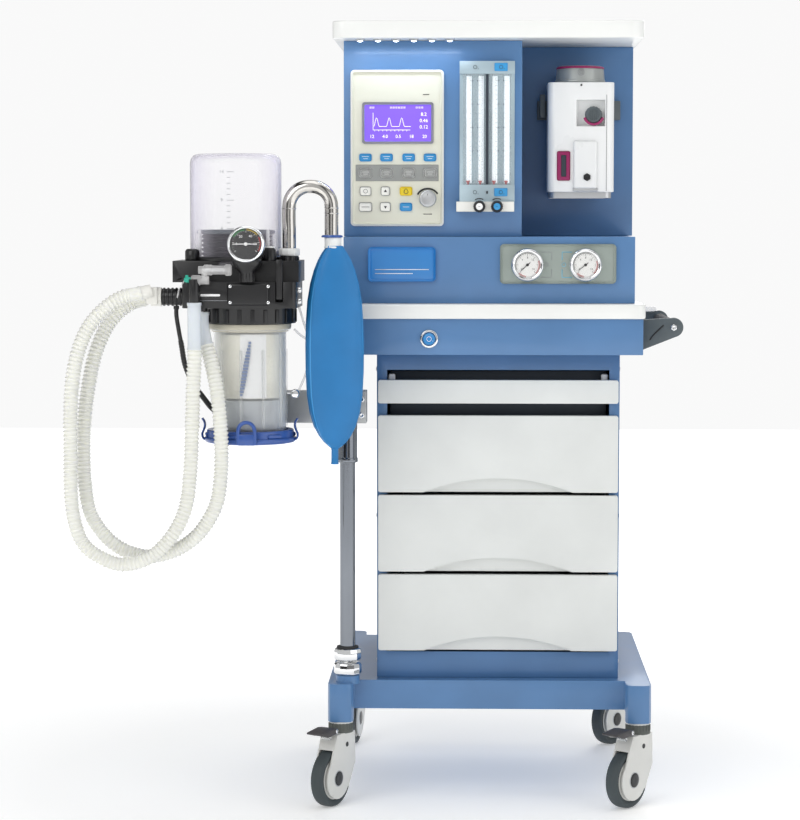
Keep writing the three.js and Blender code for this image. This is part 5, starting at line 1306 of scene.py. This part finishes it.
def makeCanister():
    a = absorberLook
    r, low, top = a["canisterRadius"], a["canisterLow"], a["canisterTop"]
    tall = top - low
    wall = 3
    profile = [(0, 0), (r - 6, 0), (r - 1.5, 3), (r, 8), (r, tall - 17), (r + 2, tall - 14),
               (r + 7.5, tall - 10),
               (r + 8, tall), (r - 2, tall), (r - wall - 1, tall - 14), (r - wall, tall - 20), (r - wall, 9),
               (r - wall - 3, 4.5), (0, 4)]
    shell = turnedPiece(profile, (a["x"], a["y"], low), "Z", 96)
    settle(shell, "canister_shell", "canisterClear", "absorber", ("canister",), smooth=50)
    fill = turnedPiece([(0, 0), (r - 6, 0), (r - 4.6, 2), (r - 4.6, 108), (r - 8, 111), (0, 112)],
                       (a["x"], a["y"], a["fillLow"]), "Z", 72)
    settle(fill, "absorbent_granules", "granules", "absorber")
    cup = turnedPiece([(0, 0), (r - 12, 0), (r - 7, 6), (r - 7, 50), (0, 50)], (a["x"], a["y"], low + 6),
                      "Z", 56)
    settle(cup, "canister_cup", "cupGrey", "absorber")
    # clear ribs down the wall, and the flange that seats under the black ring
    ribs = []
    for i in range(10):
        t = math.radians(36 * i + 8)
        ribs.append(turnedPiece([(0, 0), (2.4, 0), (2.4, 132), (0, 132)],
                                (a["x"] + (r - 0.6) * math.cos(t), a["y"] + (r - 0.6) * math.sin(t),
                                 low + 10), "Z", 12, 0.5))
    settle(joinPieces(ribs), "canister_ribs", "canisterClear", "absorber")
    flange = turnedPiece([(r + 0.6, 0), (r + 3, 0), (r + 8.4, 6), (r + 8.8, 13), (r + 8.4, 13.6),
                          (r + 0.6, 13.6), (r + 0.6, 0)],
                         (a["x"], a["y"], top - 14), "Z", 96, 0.3)
    settle(flange, "canister_flange", "beigePlastic", "absorber")
    # a pale insert behind the wall with a slanted indicator strip
    insert = turnedPiece([(r - 4.2, 0), (r - 3.6, 0), (r - 3.6, 108), (r - 4.2, 108), (r - 4.2, 0)],
                         (a["x"], a["y"], 722), "Z", 96)
    for edge, keep in ((-102, 1), (-57, -1)):
        t = math.radians(edge)
        pickOnly(insert)
        bpy.ops.object.mode_set(mode="EDIT")
        bpy.ops.mesh.select_all(action="SELECT")
        bpy.ops.mesh.bisect(plane_co=at(a["x"], a["y"], 722),
                            plane_no=(keep * -math.sin(t), keep * math.cos(t), 0),
                            use_fill=True, clear_inner=True)
        bpy.ops.object.mode_set(mode="OBJECT")
    settle(insert, "canister_insert", "printWhite", "absorber")
    strip = []
    for i in range(17):
        share = i / 16
        x, z = a["x"] - 10 + 15 * share, 726 + 88 * share
        y = a["y"] - math.sqrt((r + 0.6) ** 2 - (x - a["x"]) ** 2)
        wide = 2.4 + 2.2 * math.sin(math.pi * min(1, share * 1.1)) ** 0.5
        strip.append(blockPiece((x - wide, x + wide), (y - 0.9, y + 0.9), (z, z + 4.4), corner=1, along="Y",
                                soft=0.3,
                                cornerSegments=2, softSegments=1))
    settle(joinPieces(strip), "indicator_strip", "slateBlue", "absorber", smooth=60)
    print("canister made")


# the blue lock ring: a flanged ring, bayonet ramps, an arched handle and a curled hook on each side
def makeLockRing():
    a = absorberLook
    low, high = boxOf("canister_ring")
    ringTop = 666
    bottom = low.z
    r = a["ringRadius"]
    tall = ringTop - bottom
    profile = [(0, 0), (r - 10, 0), (r - 2.5, 1.6), (r, 5), (r, 9), (r - 1.6, 10.6), (r - 4, 10.6),
               (r - 4, tall - 1.6),
               (r - 5.4, tall), (r - 13, tall), (r - 14.4, tall - 1.4), (r - 14.4, 17), (0, 17)]
    ring = turnedPiece(profile, (a["x"], a["y"], bottom), "Z", 96, 0.5)
    parts = [ring]
    parts += blocksAround(a["x"], a["y"], 6, (r - 6, r - 1.2), (-13, 13), (bottom + 11, bottom + 18),
                          start=-52,
                          corner=3, along="X", soft=0.8)
    # the handle is an arch at the front with a finger gap under it
    front = a["y"] - r - 2
    bow = [(a["x"] - 14, front, 645), (a["x"] - 14, front, 668)]
    bow += [(a["x"] - 14 * math.cos(math.radians(t)), front, 668 + 15 * math.sin(math.radians(t)))
            for t in range(20, 180, 20)]
    bow += [(a["x"] + 14, front, 668), (a["x"] + 14, front, 645)]
    parts.append(wirePiece(bow, 3.2, ease=6))
    parts.append(blockPiece((a["x"] - 14, a["x"] + 14), (front - 2.6, front + 6), (644, 663), corner=0,
                            soft=1.2))
    for side in (-1, 1):
        # curled from the ring's edge outwards, up, and out again at the tip
        x = a["x"] + side * (r - 3)
        y = a["y"] - 8
        curl = [(x, y, 648), (x + side * 4.5, y, 651), (x + side * 6.2, y, 658), (x + side * 3.6, y, 665),
                (x + side * 1.6, y, 672),
                (x + side * 2.6, y, 679), (x + side * 6.2, y, 685)]
        hook = wirePiece(curl, 2.0, ease=10)
        centre = at(x, y, 660)
        widen = Matrix.Diagonal((1, 4.2, 1, 1))
        hook.data.transform(Matrix.Translation(centre) @ widen @ Matrix.Translation(-centre))
        parts.append(hook)
    settle(joinPieces(parts), "lock_ring_moulded", "lockBlue", "lock_ring", ("canister_ring",))
    print("lock ring made")


# ---- absorber details: gauge, sensor, valve post, block trim, sample tubes ----

def makeAirwayGauge():
    x, y, z, radius, depth, tilt = -407.7, -472, 983.5, 31.7, 26, 14
    place = (x, y, z)
    pieces = []
    case = turnedPiece([(0, 0), (radius - 9, -7), (radius - 5, 0), (radius, 3), (radius, depth - 4),
                        (radius - 1, depth - 1.2),
                        (radius - 3, depth), (radius - 5, depth - 0.8), (radius - 6, depth - 4),
                        (0, depth - 4)],
                       (x, y + depth, z), "-Y", 80, 0.35)
    settle(case, "airway_gauge_case", "chrome", "absorber", ("airway_gauge",))
    pieces.append(case)
    before = set(bpy.data.objects)
    dialFace("airway_gauge", x, y + 3.8, z, radius - 6, "absorber", 215, -35, 181,
             finish="printBlack",
             ink="printWhite", arcs=(("dialGreen", 150, 95, 0.94, 0.7), ("dialYellow", 88, 40, 0.94, 0.7),
                                     ("dialRed", 30, -30, 0.94, 0.7)),
             numbers=(("0", 180), ("20", 125), ("40", 60), ("60", 0)))
    bar = stroke(y + 1.7, (x - 22, z - 0.4), (x + 19, z - 0.4), 0.7)
    settle(bar, "airway_gauge_hand", "printWhite", "absorber", smooth=0)
    glass = turnedPiece([(0, 0), (radius - 5.6, 0), (radius - 7, 0.8), (0, 1.2)], (x, y + 1.4, z), "-Y", 48)
    settle(glass, "airway_gauge_glass", "gaugeGlass", "absorber")
    pieces += [o for o in bpy.data.objects if o not in before]
    for piece in pieces:
        turnAbout(piece, place, "X", -tilt)
    # black cup and ribbed stem under the gauge
    cup = turnedPiece([(0, 0), (12, 0), (12, 14), (14, 18), (22, 26), (25, 34), (24, 38), (0, 38)],
                      (x, y + 22, 919.3), "Z", 56, 0.6)
    ribs = blocksAround(x, y + 22, 12, (10.6, 12.8), (-1.2, 1.2), (920, 934), soft=0.4)
    settle(joinPieces([cup] + ribs), "airway_gauge_stem", "blackPlastic", "absorber")
    print("airway gauge made")


def makeFlowSensor():
    # clear stepped body that lies along the block's front, with a teal cap at its left end
    y = -459
    upper = turnedPiece([(0, 0), (6.5, 0), (6.5, 8), (9, 10), (9, 22), (7.4, 24), (7.4, 44), (9.6, 46),
                         (9.6, 54), (7, 56), (0, 56)],
                        (-488, y, 939.5), "X", 40, 0.5)
    lower = turnedPiece([(0, 0), (7, 0), (8.6, 3), (8.6, 14), (7, 17), (7, 30), (0, 30)], (-500, y, 922.5),
                        "X", 40, 0.5)
    link = turnedPiece([(0, 0), (5, 0), (5, 18), (0, 18)], (-478, y, 922), "Z", 24, 0.4)
    settle(joinPieces([upper, lower, link]), "flow_sensor_body", "sensorClear", "absorber")
    core = turnedPiece([(0, 0), (3.4, 0), (3.4, 40), (0, 40)], (-482, y, 939.5), "X", 24, 0.4)
    settle(core, "flow_sensor_core", "silverSatin", "absorber")
    cap = turnedPiece([(0, 0), (3.4, 0), (4.6, 3), (4.6, 9), (3, 12), (0, 12)], (-500, y, 923), "-X", 24, 0.3)
    wing = blockPiece((-510, -505), (y - 1, y + 1), (919, 931), corner=1, along="Y", soft=0.4)
    settle(joinPieces([cap, wing]), "luer_cap", "luerTeal", "absorber")
    thread = wirePiece([(-511, y + 1, 922), (-520, y + 4, 910), (-524, y + 16, 899), (-527, y + 30, 893)],
                       1.3, ease=8)
    settle(thread, "luer_lead", "sensorClear", "absorber")
    print("flow sensor made")


def makeBlockTrim():
    front = -446
    label = faceBlock((-486, -453), (895, 899), front - 0.1, 0.6, 1.6, 0.2, "printWhite")
    lines = stroke(front - 0.6, (-486, 888), (-440, 888), 0.5)
    settle(label, "block_label", None, "absorber")
    settle(lines, "block_label_line", "printGrey", "absorber", smooth=0)
    # raised front cover, grooves round the canister ring, screws and the drain knob
    cover = blockPiece((-441, -371), (front - 4.5, front + 2), (880, 917), corner=4, along="Y", soft=1.4)
    settle(cover, "block_front_cover", "blackPlastic", "absorber")
    teeth = blocksAround(absorberLook["x"], absorberLook["y"], 22, (78.2, 80.2), (-3.4, 3.4), (849.5, 872),
                         corner=1, along="X", soft=0.5)
    settle(joinPieces(teeth), "canister_ring_grips", "blackPlastic", "absorber")
    screws = []
    for x, z, r in ((-372, 912, 2.6), (-436, 912, 2.6), (-372, 885, 2.6), (-436, 885, 2.6)):
        screws.append(turnedPiece([(0, 0), (r, 0), (r, 1.4), (r - 0.8, 2), (0.9, 2), (0.8, 1.2), (0, 1.2)],
                                  (x, front - 4.2, z), "-Y", 20))
    for z in (905, 886):
        screws.append(turnedPiece([(0, 0), (5, 0), (5, 5), (3.6, 7), (0, 7)], (-325.2, -420, z), "X", 6, 0.4))
    settle(joinPieces(screws), "block_screws", "chrome", "absorber")
    deck = []
    for x, y, r, tall in ((-505, -396, 12, 20), (-360, -300, 11, 16), (-372, -408, 10, 22)):
        deck.append(turnedPiece([(0, 0), (r, 0), (r, tall - 4), (r - 2, tall - 1), (r - 4, tall),
                                 (0, tall)], (x, y, 954), "Z", 36, 0.6))
    deck.append(turnedPiece([(0, 0), (19, 0), (19, 3), (14, 7), (14, 30), (11, 33), (0, 33)],
                            (-517, -405, 919.2), "Z", 44, 0.6))
    settle(joinPieces(deck), "deck_caps", "blackPlastic", "absorber")
    caps = [turnedPiece([(0, 0), (8, 0), (7, 2.4), (0, 3)], (-372, -408, 976), "Z", 28, 0.3)]
    settle(joinPieces(caps), "deck_cap_top", "cuffWhite", "absorber")
    knob = turnedPiece([(0, 0), (4, 0), (4, 9), (8, 11), (8, 20), (6, 22), (0, 22)], (-333, -352, 727),
                       "-Y", 12, 0.5)
    stem = stroke(-352, (-348, 727), (-331, 727), 2.6)
    settle(joinPieces([knob, stem]), "drain_knob", "chrome", "absorber")
    stub = []
    for i in range(5):
        stub.append(turnedPiece([(14.1, 0), (15.6, 0.6), (15.6, 3.2), (14.1, 3.8), (14.1, 0)],
                                (-554 + 7 * i, -402, 893), "X", 40))
    settle(joinPieces(stub), "stub_ribs", "blackPlastic", "absorber")
    print("block trim made")


# knurls round the valve post under the bent tube
def makeValvePost():
    x, y = -342, -376
    knurls = blocksAround(x, y, 20, (15.4, 17), (-1.1, 1.1), (930, 960), soft=0.4)
    settle(joinPieces(knurls), "valve_post_ribs", "blackPlastic", "absorber")
    print("valve post made")


# thin clear tubes that hang behind the bag from the block to the arm
tubeLook = {
    "radius": 2.1,
    "routes": {
        "sample_tube_left": [(-333, -330, 888), (-322, -326, 850), (-312, -318, 812), (-316, -308, 768),
                             (-330, -292, 732),
                             (-338, -284, 716)],
        "sample_tube_right": [(-336, -344, 836), (-326, -340, 826), (-304, -334, 812), (-282, -322, 800),
                              (-268, -306, 778),
                              (-262, -292, 752), (-260, -287, 728)],
    },
}


# ---- bag and its bent tube ----

bagLook = {
    "x": -265, "y": -376, "turn": 15, "wide": 51.5, "deep": 23.5,
    # height in mm, and the share of the full width and depth there
    "rings": [(634, 0.13, 0.28), (637, 0.2, 0.38), (645, 0.38, 0.55), (656, 0.55, 0.68), (672, 0.72, 0.8),
              (695, 0.86, 0.9),
              (725, 0.95, 0.97), (765, 0.99, 1.0), (810, 1.0, 1.0), (850, 0.98, 0.99), (885, 0.93, 0.95),
              (915, 0.83, 0.88),
              (938, 0.7, 0.8), (955, 0.56, 0.7), (967, 0.42, 0.62), (975, 0.3, 0.58), (979, 0.27, 0.58)],
    "seamReach": 3.2, "sides": 64, "tailLow": 607,
}


# half-width and half-depth follow a rounded oblong with four raised seams near its corners
def makeBag():
    b = bagLook
    deselectAll()
    bpy.ops.mesh.primitive_circle_add(vertices=b["sides"], radius=mm, fill_type="TRIFAN", location=(0, 0, 0))
    bag = bpy.context.object
    bpy.ops.object.mode_set(mode="EDIT")
    heights = []
    rings = b["rings"]
    for i, (z, wide, deep) in enumerate(rings[:-1]):
        nextZ, nextWide, nextDeep = rings[i + 1]
        for k in range(3):
            t = k / 3
            heights.append((z + (nextZ - z) * t, wide + (nextWide - wide) * t, deep + (nextDeep - deep) * t))
    heights.append(rings[-1])
    bpy.ops.mesh.select_all(action="SELECT")
    bpy.ops.transform.translate(value=(0, 0, heights[0][0] * mm))
    for (z, _, _), (nextZ, _, _) in zip(heights, heights[1:]):
        bpy.ops.mesh.extrude_region_move(TRANSFORM_OT_translate={"value": (0, 0, (nextZ - z) * mm)})
    bpy.ops.mesh.select_all(action="SELECT")
    bpy.ops.mesh.normals_make_consistent(inside=False)
    bpy.ops.object.mode_set(mode="OBJECT")
    level = {round(z, 3): (wide, deep) for z, wide, deep in heights}
    turn = math.radians(b["turn"])
    seam = math.radians(38)
    for corner in bag.data.vertices:
        flat = Vector((corner.co.x, corner.co.y))
        share = flat.length / mm
        angle = math.atan2(flat.y, flat.x)
        z = corner.co.z / mm
        wide, deep = level[min(level, key=lambda h: abs(h - z))]
        c, s = math.cos(angle), math.sin(angle)
        halfWide, halfDeep = b["wide"] * wide, b["deep"] * deep
        power = 2.7
        reach = (abs(c) ** power + abs(s) ** power) ** (-1 / power)
        nearest = min(abs(abs(angle) - seam), abs(abs(angle) - (math.pi - seam)))
        lift = b["seamReach"] * max(0, 1 - nearest / 0.085) * min(1, wide * 2)
        # the flanks draw in a little between the seams, and the front sags fuller low down
        flank = -3.4 * max(0, 1 - abs(s) / 0.5) * wide
        belly = 2.2 * max(0, abs(s) - 0.6) * math.sin(math.pi * max(0, min(1, (z - 640) / 260))) * wide
        px = (halfWide * reach * c + (lift + flank) * c) * share
        py = (halfDeep * reach * s + (lift + belly * 2.4) * s) * share
        x = px * math.cos(turn) - py * math.sin(turn)
        y = px * math.sin(turn) + py * math.cos(turn)
        # slow waves where the rubber hangs slack
        y += 0.8 * math.sin(z / 23 + x / 17) * wide
        corner.co = at(b["x"] + x, b["y"] + y, z)
    bag.data.materials.append(materialOf("bagRubber"))
    bag.data.materials.append(materialOf("bagSeamPaintedHighlight"))
    # faces along the seams take the lighter rubber, a painted highlight on the ridges
    cut = math.cos(turn), math.sin(turn)
    for face in bag.data.polygons:
        away = face.center - at(b["x"], b["y"], 0)
        px = (away.x * cut[0] + away.y * cut[1]) / mm
        py = (-away.x * cut[1] + away.y * cut[0]) / mm
        wide, deep = level[min(level, key=lambda h: abs(h - face.center.z / mm))]
        angle = math.atan2(py / (b["deep"] * deep), px / (b["wide"] * wide))
        nearest = min(abs(abs(angle) - seam), abs(abs(angle) - (math.pi - seam)))
        face.material_index = 1 if nearest < 0.05 else 0
    settle(bag, "breathing_bag_body", None, "bag_arm", ("breathing_bag",), smooth=70)
    tail = turnedPiece([(0, 0), (6.4, 0), (6.8, 1.5), (6.2, 3.5), (6, 24), (7.5, 32), (0, 33)],
                       (b["x"], b["y"], b["tailLow"]), "Z", 32, 0.2)
    settle(tail, "bag_tail", "bagRubber", "bag_arm")
    cuff = turnedPiece([(11.9, 0), (14.6, 0), (14.9, 2), (14.2, 4), (14.2, 15), (14.8, 17), (13.6, 18.6),
                        (11.9, 18.6), (11.9, 0)],
                       (b["x"] - 2.5, b["y"], 975), "Z", 56, 0.3)
    settle(cuff, "bag_cuff", "cuffWhite", "bag_arm")
    band = turnedPiece([(14.4, 0), (18, 0.4), (18.2, 2.2), (17, 4), (14.4, 4.4), (14.4, 0)],
                       (b["x"] - 4, b["y"], 993), "Z", 56)
    settle(band, "bag_band", "lockBlue", "bag_arm")
    print("bag made")


bentTubeLook = {"x": -342, "y": -376, "reach": 72, "foot": 962.3, "top": 1079, "bend": 34, "end": 997,
                "radius": 11.6}


def makeBentTube():
    t = bentTubeLook
    bend = t["bend"]
    right = t["x"] + t["reach"]
    points = [(t["x"], t["y"], t["foot"] + 4), (t["x"], t["y"], t["foot"] + 40),
              (t["x"], t["y"], t["top"] - bend)]
    for i in range(1, 7):
        a = math.radians(15 * i)
        points.append((t["x"] + bend * (1 - math.cos(a)), t["y"], t["top"] - bend + bend * math.sin(a)))
    for i in range(1, 7):
        a = math.radians(90 - 15 * i)
        points.append((right - bend + bend * math.cos(a), t["y"], t["top"] - bend + bend * math.sin(a)))
    points += [(right, t["y"], t["top"] - bend - 24), (right, t["y"], t["end"] + 0.3)]
    tube = wirePiece(points, t["radius"], sides=10, ease=5)
    # weld beads where the bent lengths join
    beads = []
    for x, z in ((t["x"], t["top"] - bend - 4), (right, t["top"] - bend - 3), (right, t["top"] - bend - 12)):
        beads.append(turnedPiece([(10, 0), (t["radius"] + 0.3, 0), (t["radius"] + 0.9, 0.9),
                                  (t["radius"] + 0.3, 1.8), (10, 1.8), (10, 0)],
                                 (x, t["y"], z), "Z", 48))
    settle(joinPieces([tube] + beads), "bent_tube", "tubeSteel", "bag_arm", ("bag_tube",),
           smooth=50)
    nut = turnedPiece([(12, 0), (17.6, 0), (18.4, 1.2), (18.4, 10.6), (17.4, 12), (12.2, 12.4), (12, 0)],
                      (t["x"], t["y"], t["foot"] + 0.2), "Z", 10, 0.6)
    settle(nut, "bent_tube_nut", "cuffWhite", "bag_arm", smooth=30)
    print("bent tube made")


def makeSampleTubes():
    for name, route in tubeLook["routes"].items():
        tube = wirePiece(route, tubeLook["radius"], sides=5, ease=8)
        settle(tube, name, "sensorClear", "absorber", smooth=60)
    print("sample tubes made")


# ---- pole, arm, handle and cabinet details ----

def makePoleAndArm():
    x, y = -249, -266
    nuts = []
    for z, tall in ((225.8, 22.6), (251.4, 22.6)):
        nuts.append(turnedPiece([(14, 0), (20, 0), (23.6, 2.2), (24.4, 4.6), (24.4, tall - 6),
                                 (22.8, tall - 2.6), (19.4, tall - 0.6),
                                 (14, tall), (14, 0)], (x, y, z), "Z", 12, 0.7))
    for nut in nuts[1:]:
        turnAbout(nut, (x, y, 0), "Z", 15)
    column = turnedPiece([(0, 0), (13.4, 0), (13.4, 512), (0, 512)], (x, y, 276), "Z", 64)
    settle(column, "pole_tube", "poleSteel", "chassis", ("pole",), smooth=40)
    settle(joinPieces(nuts), "pole_nuts", "chrome", "chassis", smooth=25)
    collar = turnedPiece([(13.5, 0), (19.5, 0), (18.6, 2.5), (13.5, 3.2), (13.5, 0)], (x, y, 273.6), "Z", 48)
    settle(collar, "pole_collar", "blackRubber", "chassis")
    sleeve = turnedPiece([(13.9, 0), (17.4, 0), (18.2, 1), (18.2, 7), (17, 8.4), (17, 171), (18.2, 172.4),
                          (18.2, 178), (17.4, 179),
                          (13.9, 179), (13.9, 0)], (x, y, 600.5), "Z", 64, 0.3)
    settle(sleeve, "sleeve_tube", "poleSteel", "absorber")
    boltHead = [(0, 0), (5, 0), (5, 3.6), (4, 4.4), (2.4, 4.4), (2.2, 2.6), (0, 2.6)]
    bolts = [turnedPiece(boltHead, (x + side * 26, y - 22.2, z), "-Y", 24, 0.3) for z in (684, 712)
             for side in (-1, 1)]
    settle(joinPieces(bolts), "arm_clamp_bolts", "chrome", "absorber")
    print("pole and arm made")


def makeHandleDetails():
    low, high = boxOf("side_handle")
    x, z = high.x - 17, 834
    bolts = [turnedPiece([(0, 0), (6.2, 0), (6.2, 2.4), (5, 3.4), (2.8, 3.4), (2.6, 2), (0, 2)],
                         (x, low.y - 0.1, z), "-Y", 6, 0.3),
             turnedPiece([(0, 0), (6.2, 0), (6.2, 2.4), (5, 3.4), (0, 3.4)], (x, high.y + 0.1, z), "Y", 6,
                         0.3)]
    settle(joinPieces(bolts), "handle_bolts", "chrome", "chassis")
    grip = turnedPiece([(11.1, 0), (12, 1), (12, 12), (11.1, 13), (11.1, 0)], (x, low.y + 16, z), "Y", 40)
    grips = [grip] + [copyBy(grip, y=14.2 * i) for i in range(1, 24)]
    settle(joinPieces(grips), "handle_grip_rings", "blackRubber", "chassis")
    slot = [(low.x + 16, low.y - 0.2, z - 22), (low.x + 22, low.y - 0.2, z - 14),
            (low.x + 34, low.y - 0.2, z - 2),
            (low.x + 40, low.y - 0.2, z + 4)]
    settle(wirePiece(slot, 1.3), "handle_cast_line", "blackPlastic", "chassis")
    tip = turnedPiece([(0, 0), (4, 0), (4.6, 2), (4.6, 16), (3, 20), (0, 21)],
                      (high.x - 44, high.y - 20, z + 20), "X", 24, 0.4)
    settle(tip, "side_port_tip", "sensorClear", "chassis")
    cap = turnedPiece([(0, 0), (5.4, 0), (5.4, 8), (4.2, 9), (0, 9)], (high.x - 44, high.y - 20, z + 20),
                      "-X", 24, 0.4)
    settle(cap, "side_port_cap", "keyBlue", "chassis")
    print("side handle made")


def makeCabinetDetails():
    # a dark sheet behind the tray is painted shade in the gap round it, with a small white runner clip at
    # each side
    shadeSheet = blockPiece((-176, 205), (-200, -199), (660, 757), soft=0.3)
    settle(shadeSheet, "cabinet_liner", "insideDark", "chassis")
    clips = [blockPiece((x - 6, x + 6), (-214, -204), (728, 752), corner=3, along="Y", soft=0.8)
             for x in (-173, 202)]
    settle(joinPieces(clips), "tray_clips", "printWhite", "chassis")
    # fixing screws on the cabinet's sides and the rear cover
    screws = []
    for x, along in ((-199.3, "-X"), (228.3, "X")):
        for y in (-200, 0, 196):
            for z in (240, 500, 760):
                screws.append(turnedPiece([(0, 0), (4.2, 0), (3.6, 1.4), (1.4, 1.8), (1.2, 1.1), (0, 1.1)],
                                          (x, y, z), along, 16))
    low, high = boxOf("rear_cover")
    for x in (low.x + 14, (low.x + high.x) / 2, high.x - 14):
        for z in (low.z + 16, (low.z + high.z) / 2, high.z - 16):
            screws.append(turnedPiece([(0, 0), (4.4, 0), (3.8, 1.4), (1.4, 1.8), (1.2, 1.1), (0, 1.1)],
                                      (x, high.y + 0.1, z), "Y", 16))
    settle(joinPieces(screws), "cover_screws", "silverSatin", "chassis")
    # inlet fittings and a mains inlet low on the rear cover
    ports = []
    for i, x in enumerate((-150, -112, -74)):
        ports.append(turnedPiece([(0, 0), (13, 0), (13, 5), (9, 7), (9, 15), (11, 16), (11, 21), (8, 24),
                                  (5, 24), (5, 12), (0, 12)],
                                 (x, high.y + 0.1, 918), "Y", 32, 0.4))
    settle(joinPieces(ports), "gas_inlets", "chrome", "chassis")
    socket = blockPiece((118, 168), (high.y, high.y + 6), (900, 932), corner=4, along="Y", soft=1)
    hollow = blockPiece((126, 160), (high.y + 1.5, high.y + 9), (905, 927), corner=3, along="Y", soft=0)
    cutWith(socket, hollow)
    settle(socket, "mains_inlet", "blackPlastic", "chassis")
    print("cabinet details made")


makeDome()
makeBellows()
makeCanister()
makeLockRing()
makeAirwayGauge()
makeFlowSensor()
makeBlockTrim()
makeValvePost()
makeBag()
makeBentTube()
makeSampleTubes()
makePoleAndArm()
makeHandleDetails()
makeCabinetDetails()


# ---- casters ----

casterLook = {
    "sideX": 260.5, "sideY": 278,
    "turns": {"front_left": 241, "front_right": 232, "rear_left": 262, "rear_right": 232},
    "wheelRadius": 50, "treadHalf": 12, "trail": 34, "axle": 50, "cheekHalf": 16.5, "collar": 21.2,
    "collarLow": 125.9,
    "collarTall": 19.6, "ribs": 22, "hingeX": 42, "hingeZ": 134.7,
}


# pieces are laid out with the trail along X, then turned and moved under their corner post
def underPost(piece, place):
    c = casterLook
    turnAbout(piece, (0, 0, 0), "Z", c["turns"][place])
    x = c["sideX"] * (-1 if "left" in place else 1)
    y = c["sideY"] * (-1 if "front" in place else 1)
    piece.data.transform(Matrix.Translation((x * mm, y * mm, 0)))
    return piece


def makeCaster(place):
    c = casterLook
    swivel, rolling, brake = "swivel_" + place, "wheel_" + place, "pedal_" + place
    refined(f"caster_{place}_fork", swivel, "coverGrey", 3.2, segments=3, angle=30)
    # ribbed collar round the swivel bearing
    collar = [turnedPiece([(c["collar"] - 0.4, 0), (c["collar"] + 0.6, 1), (c["collar"] + 0.6, 5),
                           (c["collar"] - 0.1, 6.4),
                           (c["collar"] - 0.1, c["collarTall"] - 3),
                           (c["collar"] - 1.6, c["collarTall"] - 0.4),
                           (8, c["collarTall"]), (8, c["collarTall"] - 1), (c["collar"] - 0.4, 0)],
                          (0, 0, c["collarLow"]), "Z", 56)]
    collar += blocksAround(0, 0, c["ribs"], (c["collar"] - 0.8, c["collar"] + 0.9), (-1.3, 1.3),
                           (c["collarLow"] + 6,
                            c["collarLow"] + c["collarTall"] - 3.4), soft=0.4, softSegments=1)
    settle(underPost(joinPieces(collar), place), f"caster_{place}_collar", "collarGrey", swivel,
           smooth=30)
    caps, holes = [], []
    for side in (-1, 1):
        y = side * c["cheekHalf"]
        along = "-Y" if side < 0 else "Y"
        caps.append(turnedPiece([(0, 0), (12.5, 0), (12.5, 0.9), (11.4, 1.5), (4, 1.1), (0, 0.9)],
                                (c["trail"], y, c["axle"]), along, 40))
        holes.append(turnedPiece([(0, 0), (4.4, 0), (4.4, 0.35), (0, 0.35)], (6, y, 106), along, 24))
    settle(underPost(joinPieces(caps + holes), place), f"caster_{place}_caps", "blackPlastic", swivel)
    rims = [turnedPiece([(12.9, 0), (14.4, 0), (14.1, 0.8), (12.9, 0.8), (12.9, 0)],
                        (c["trail"], side * c["cheekHalf"], c["axle"]),
                        "-Y" if side < 0 else "Y", 40) for side in (-1, 1)]
    settle(underPost(joinPieces(rims), place), f"caster_{place}_cap_rims", "silverSatin", swivel)
    r, half = c["wheelRadius"], c["treadHalf"]
    tyre = turnedPiece([(5.4, -9), (38, -9), (39, -10), (42, -11.6), (46, -half), (48.6, -10.2), (49.8, -7),
                        (r, -3), (r, 3),
                        (49.8, 7), (48.6, 10.2), (46, half), (42, 11.6), (39, 10), (38, 9), (5.4, 9),
                        (5.4, -9)],
                       (c["trail"], 0, c["axle"]), "Y", 80)
    settle(underPost(tyre, place), f"caster_{place}_tyre", "tyreGrey", rolling,
           (f"caster_{place}_wheel",), smooth=35)
    discs = [turnedPiece([(6, 0), (37, 0), (36, 0.9), (20, 1.6), (6, 1.6), (6, 0)],
                         (c["trail"], side * 9, c["axle"]),
                         "Y" if side > 0 else "-Y", 48) for side in (-1, 1)]
    settle(underPost(joinPieces(discs), place), f"caster_{place}_discs", "coverGrey", rolling)
    refined(f"caster_{place}_pedal", brake, "pedalGrey", 1.2, segments=2, angle=30)
    treads = [wirePiece([(c["hingeX"] + 16 + 5.5 * i, -13, c["hingeZ"] + 4.9 - 0.62 * i),
                         (c["hingeX"] + 16 + 5.5 * i, 13, c["hingeZ"] + 4.9 - 0.62 * i)],
                        0.7, straight=True) for i in range(5)]
    settle(underPost(joinPieces(treads), place), f"caster_{place}_treads", "pedalGrey", brake)
    # hinge pin, its bright bracket and a return spring behind the pedal
    pin = [wirePiece([(c["hingeX"], -19.4, c["hingeZ"]), (c["hingeX"], 19.4, c["hingeZ"])], 2.2,
                     straight=True)]
    for side in (-1, 1):
        pin.append(turnedPiece([(0, 0), (3.8, 0), (3.8, 1.4), (2.6, 2.2), (0, 2.2)],
                               (c["hingeX"], side * 17.2, c["hingeZ"]),
                               "Y" if side > 0 else "-Y", 20))
    coil = []
    for i in range(49):
        a = math.radians(60 * i)
        coil.append((c["hingeX"] + 6.4 + 3.2 * math.cos(a), -9 + 0.375 * i,
                     c["hingeZ"] - 12.5 + 3.2 * math.sin(a)))
    pin.append(wirePiece(coil, 0.6, sides=2, ease=2))
    settle(underPost(joinPieces(pin), place), f"caster_{place}_hinge", "chrome", swivel)


for place in casterLook["turns"]:
    makeCaster(place)
print("casters made")


# ---- done ----
print("machine made")
